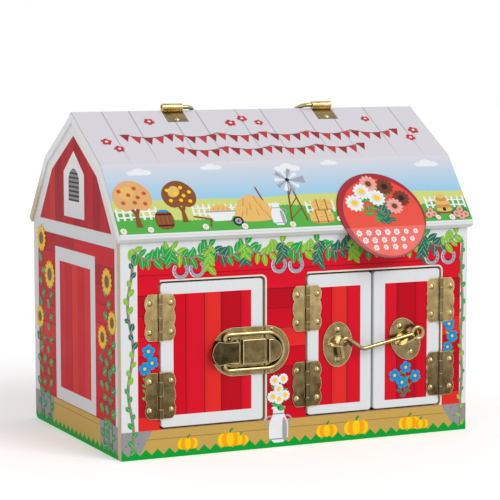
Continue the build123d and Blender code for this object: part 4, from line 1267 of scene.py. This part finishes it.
# %% Tag flowers
fan = [(-20, 10), (-11, 20), (0, 14), (10, 24), (21, 13), (-3, 27), (13, 6)]
stalks = [[(1, -9), (x * 0.45 + 1, y * 0.5 - 3), (x, y)] for x, y in fan]
pressed(vine.grown("tag_leaves", *path(*stalks), stem_width=0.8, stem_ink=LEAF_DARK, spacing=4.0, leaf_length=7.0, leaf_width=3.2, seed=51), "tag", "barn_shell")
for name, places, colour, heart in (
    ("white", fan[:3], CHALK, BUTTER), ("brown", fan[3:5], ink(122, 60, 40), COAL), ("pink", fan[5:], ROSE, UMBER),
):
    heads = blossom.grown("tag_" + name + "_flowers", places, petal_ink=colour, heart_ink=heart, petals=12, petal_length=5.6, petal_width=2.6, heart=2.3, level=0.131)
    pressed(heads, "tag", "barn_shell")
rows = [(x, y) for y, xs in ((-16.5, range(-24, 25, 8)), (-22.5, range(-20, 21, 8)), (-28.5, range(-12, 13, 8))) for x in xs]
pressed(blossom.grown("tag_small_daisies", rows, heart_ink=ROSE, petals=7, petal_length=1.9, petal_width=1.3, heart=0.8), "tag", "barn_shell")

# %% [markdown]
# ## Behind the barn
# The rear wall has climbing plants on both posts and flower tubs at its foot, from the same trees.

# %% Rear plants
rear_posts = [wave(-134.6, 3.0, 2.0, 150.0, 2.3), wave(134.6, -3.0, 2.0, 150.0, 2.6)]
rear = vine.grown("rear_vines", *path(*rear_posts), spacing=6.0, leaf_length=7.4, leaf_width=4.8, lean=0.8, cluster=26.0, seed=61, stem_width=2.0)
pressed(rear, "rear", "barn_shell")
tubs = Picture()
for x in (-84, 84):
    barrel(tubs, x, 3.5, 1.5)
pressed(tubs.cut("rear_tubs"), "rear", "barn_shell")
rear_heads = [(x + a, 30 + b) for x in (-84, 84) for a, b in ((-9, 2), (-3, 6), (4, 3), (9, 7), (0, 0))]
pressed(blossom.grown("rear_flowers", rear_heads, petal_ink=ROSE, heart_ink=BUTTER, petals=9, petal_length=4.4, petal_width=2.6, heart=1.8, level=0.15), "rear", "barn_shell")

# %% [markdown]
# ## Brass
# The plates are stamped brass with an antique stain: brown bronze where it stayed on, pale gold
# where tumbling rubbed it off, which is along every edge and on the rivet heads. The pale edges
# are also a painted highlight, and the dark bronze on the undersides of domes and wires is painted
# shade. A Bevel node gives the edges, as its normal differs from the face's own there. Each
# finish's colour is also scaled by its tones: painted shade that stands in for darker reflections,
# darker towards the foot on the hinges and clips, and a painted sheen on the pressed cups. The
# bent wire is polished instead.

# %% Brass finishes
GOLD, GOLD_PALE = ink(204, 174, 108), ink(240, 220, 166)
BRONZE, BRONZE_DARK = ink(150, 128, 82), ink(84, 68, 42)
HINGE_LINES = (-113.55, 4.95, 119.75)
TOP_OF_BRASS, BRASS_TALL = 118.0, 85.0  # mm, the span that the hinges cover


def brass(name, stain, shine, edge=0.5, bosses=(), knuckles=False, below=0.0, tones=(1.0, 1.0), heights=(0.0, 1.0)):
    """stain: how much dark bronze is left, 0 to 1. shine: roughness of the bare metal.
    tones: factors on the metal's colour at the lower and the upper of the two heights, painted shade that stands in for
    darker reflections; above 1 they are a painted sheen.
    bosses: (left, right, middle height, half height) of raised parts that kept their stain.
    below: how much painted shade, laid in as dark bronze, darkens the underside of domes and wires."""
    f = Finish(name)
    rounded = f.node("ShaderNodeBevel", {"samples": 4}, {"Radius": edge * MM}).outputs[0]
    own = f.node("ShaderNodeNewGeometry").outputs["Normal"]
    level = f.number("ShaderNodeVectorMath", {"operation": "DOT_PRODUCT"}, {0: rounded, 1: own}, 1)
    # Pale gold along every edge: partly rubbed wear, partly a painted highlight on the edges.
    rubbed_and_glint = level.below(0.985, 0.03)
    # Painted shade: more dark bronze towards the foot of the hinges' span, so the lower hinges come out darker.
    low = f.z.maths("MULTIPLY_ADD", -1 / BRASS_TALL, TOP_OF_BRASS / BRASS_TALL, clamp=True)
    cover = (low - 0.5) * 0.6 * stain + (f.noise(8, 2) - 0.5) * 0.9 + stain
    cover = cover + (f.noise(0.8, 3) - 0.5) * 0.45
    for x0, x1, middle, half in bosses:
        raised = f.x.within(x0, x1, 0.6) * f.z.within(middle - half, middle + half, 0.6)
        cover = cover + raised * 0.3
    if knuckles:
        for line in HINGE_LINES:
            cover = cover + abs(f.x - line).below(1.5, 1.2) * 0.45
    # Painted shade: dark bronze on the undersides of domes and wires, by the amount below.
    cover = cover + f.face_z.below(-0.25, 0.7) * below
    left = cover.above(0.5, 1.0) * (1.0 - rubbed_and_glint)
    # This dark bronze is the stain and also the painted shade laid in above.
    stain_and_shade_bronze = f.over(BRONZE, BRONZE_DARK, (f.noise(1.4, 3) * 0.5 + left * 0.5).above(0.6, 0.5))
    metal = f.over(GOLD, GOLD_PALE, f.noise(5, 2).above(0.5, 0.4).most(rubbed_and_glint))
    # Painted shade: the colour is scaled by tones between the two heights, darker at the foot, standing in for darker
    # reflections; a factor above 1 is a painted sheen.
    (dark, light), (foot, top) = tones, heights
    share = ((f.z - foot) / (top - foot)).most(0.0).least(1.0)
    shade_and_sheen_metal = f.shade(f.over(metal, stain_and_shade_bronze, left), share * (light - dark) + dark)
    colour = f.over(shade_and_sheen_metal, GOLD_PALE, rubbed_and_glint * 0.85)
    rough = shine + left * 0.16 + (f.noise(1.1, 2) - 0.5) * 0.12
    scratches = f.noise(0.7, 2) * 0.4 + f.noise(2.4, 2) * 0.8
    return f.done(colour, rough, scratches, 0.03, Metallic=1.0)


LATCH_Z = 74.3
# The tones of each finish are painted shade, darker than the metal's own colour; on the hinges and clips they are
# darker towards the foot.
plate = brass("antique_brass", 0.62, 0.24, knuckles=True, tones=(0.38, 0.80), heights=(33, 118))
clip = brass("clip_brass", 0.5, 0.2, tones=(0.36, 0.85), heights=(247.5, 249.0))
latch_plate = brass(
    "polished_latch_brass", 0.30, 0.16, 0.7, below=0.4, tones=(0.42, 0.42),
    bosses=((-49.0, -32.2, LATCH_Z, 8.6), (-27.8, -18.6, LATCH_Z, 8.0)),
)
lever = brass("stained_lever_brass", 0.85, 0.22, 0.7, tones=(0.24, 0.24))
wire = brass("polished_brass_wire", 0.26, 0.15, below=0.75, tones=(0.62, 0.62))
rivet = brass("brass_rivet", 0.15, 0.16, below=0.9, tones=(0.7, 0.7))
FINISHES = (
    ("rivets", rivet), ("_pin", wire), ("handle_bail", wire), ("latch_loop", wire),
    ("latch_lever", lever), ("latch_base", latch_plate), ("strike", latch_plate),
    ("_plate", latch_plate), ("clip", clip), ("hinge", plate), ("hook", wire),
)
for name, node in nodes.items():
    for word, finish in FINISHES:
        if word in name:
            node.data.materials.clear()
            node.data.materials.append(finish)
            break
print("brass finishes set")

# %% [markdown]
# ## Cups of the hook's plates
# The press that pushes the catch's ledge and the hook's shelf out of their plates leaves a
# shallow cup above each, in polished brass. It could be a bump in the plate's material, but a
# bowl catches the light at its own depth. It is a few rings of points, each one the rim drawn
# towards the middle and set a little deeper, and it is closed by a flat back inside the door.

# %% Pressed cups
CUP_HALF, CUP_TALL, CUP_RIM, CUP_FLOOR = 9.0, 7.6, 0.6, 0.1  # mm, the last two from the door's face
CUP_STEPS, CUP_RINGS = 20, 5
# Painted sheen: tones of 1.35 lift the cup's colour above the plain gold.
cup_brass_with_sheen = brass("pressed_cup_brass", 0.05, 0.14, 0.3, tones=(1.35, 1.35))


def pressed_cup(name, body, x, z, tilt):
    c, s = math.cos(math.radians(tilt)), math.sin(math.radians(tilt))

    def placed(across, up, depth):
        return Vector((x + across * c - up * s, -95.0 - depth, z + across * s + up * c)) * MM

    rim = [(CUP_HALF * p, CUP_TALL * q) for p, q in arc(0, 0, 1.0, 0, 180, CUP_STEPS - 1)]
    middle = CUP_TALL * 0.45
    points = []
    for ring in range(CUP_RINGS):
        part = 1 - ring / CUP_RINGS
        deep = CUP_FLOOR + (CUP_RIM - CUP_FLOOR) * part ** 2
        points += [placed(a * part, middle + (b - middle) * part, deep) for a, b in rim]
    points += [placed(0, middle, CUP_FLOOR)] + [placed(a, b, -SKIN / 2) for a, b in rim]
    hub, back = CUP_RINGS * CUP_STEPS, CUP_RINGS * CUP_STEPS + 1
    faces = [tuple(range(back + CUP_STEPS - 1, back - 1, -1))]
    for i in range(CUP_STEPS):
        j = (i + 1) % CUP_STEPS
        faces.append((back + i, back + j, j, i))
        for first in range(0, hub - CUP_STEPS, CUP_STEPS):
            faces.append((first + i, first + j, first + CUP_STEPS + j, first + CUP_STEPS + i))
        faces.append((hub - CUP_STEPS + i, hub - CUP_STEPS + j, hub))
    made = bpy.data.meshes.new(name)
    made.from_pydata(points, [], faces)
    made.materials.append(cup_brass_with_sheen)
    cup = bpy.data.objects.new(name, made)
    bpy.context.scene.collection.objects.link(cup)
    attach(cup, body)
    print(name, "has", len(faces), "faces")


pressed_cup("catch_cup", "middle_door", 30.7, 74.3, 0.0)
pressed_cup("hook_cup", "right_door", 88.6, 74.8, 24.9)

# %% [markdown]
# ## Floor, backdrop and light
# The barn stands on a white sweep. The sky lights everything softly from all sides, and one wide
# lamp from the front right makes the front brighter than the gable. The background is white by
# colour alone: where the camera, a reflection or a clear pane looks at the sky, it sees plain
# white, while the light on the barn stays at its own level.

# %% Floor
floor_mesh = bpy.data.meshes.new("floor")
far = 6.0
floor_mesh.from_pydata([(-far, -far, 0), (far, -far, 0), (far, far, 0), (-far, far, 0)], [], [(0, 1, 2, 3)])
floor = bpy.data.objects.new("floor", floor_mesh)
bpy.context.scene.collection.objects.link(floor)


def floor_paper():
    f = Finish("floor_paper")
    tone = f.shade(ink(246, 246, 246), (f.noise(3, 2) - 0.5) * 0.01 + 1.0)
    seen = f.node("ShaderNodeLightPath").outputs
    eye = Sum(f, seen["Is Camera Ray"]) + Sum(f, seen["Is Glossy Ray"]) + Sum(f, seen["Is Transmission Ray"])
    values = {"Base Color": tone, "Roughness": 0.9, "Emission Color": (1, 1, 1, 1)}
    paper = f.node("ShaderNodeBsdfPrincipled", None, values)
    glow = f.node("ShaderNodeEmission", None, {"Color": (1, 1, 1, 1), "Strength": 0.27})
    both = f.node("ShaderNodeAddShader", None, {0: paper.outputs[0], 1: glow.outputs[0]})
    mixed = f.node("ShaderNodeMixShader", None, {0: eye.least(1.0), 1: paper.outputs[0], 2: both.outputs[0]})
    f.node("ShaderNodeOutputMaterial", None, {"Surface": mixed.outputs[0]})
    return f.material


floor_mesh.materials.append(floor_paper())

# %% World and lamps
SKY_LIGHT, SUN_LIGHT = 0.57, 1.42
world = bpy.data.worlds.new("studio")
bpy.context.scene.world = world
world.use_nodes = True
sky = Graph(world.node_tree)
sky.tree.nodes.clear()
rays = sky.node("ShaderNodeLightPath").outputs
looked_at = Sum(sky, rays["Is Camera Ray"]).most(Sum(sky, rays["Is Glossy Ray"]))
looked_at = looked_at.most(Sum(sky, rays["Is Transmission Ray"]))
glow, plain = (
    sky.node("ShaderNodeBackground", None, {"Color": (1, 1, 1, 1), "Strength": strength}).outputs[0]
    for strength in (SKY_LIGHT, 1.0)
)
mixed = sky.node("ShaderNodeMixShader", None, {0: looked_at, 1: glow, 2: plain}).outputs[0]
sky.node("ShaderNodeOutputWorld", None, {"Surface": mixed})

sun = bpy.data.lights.new("key", "SUN")
sun.energy, sun.angle = SUN_LIGHT, math.radians(32)
key = bpy.data.objects.new("key", sun)
key.rotation_euler = Vector((0.40, -0.78, 0.62)).to_track_quat("Z", "Y").to_euler()
bpy.context.scene.collection.objects.link(key)
bpy.context.scene.view_settings.view_transform = "Standard"
print("lit by a sky of", SKY_LIGHT, "and a lamp of", SUN_LIGHT)
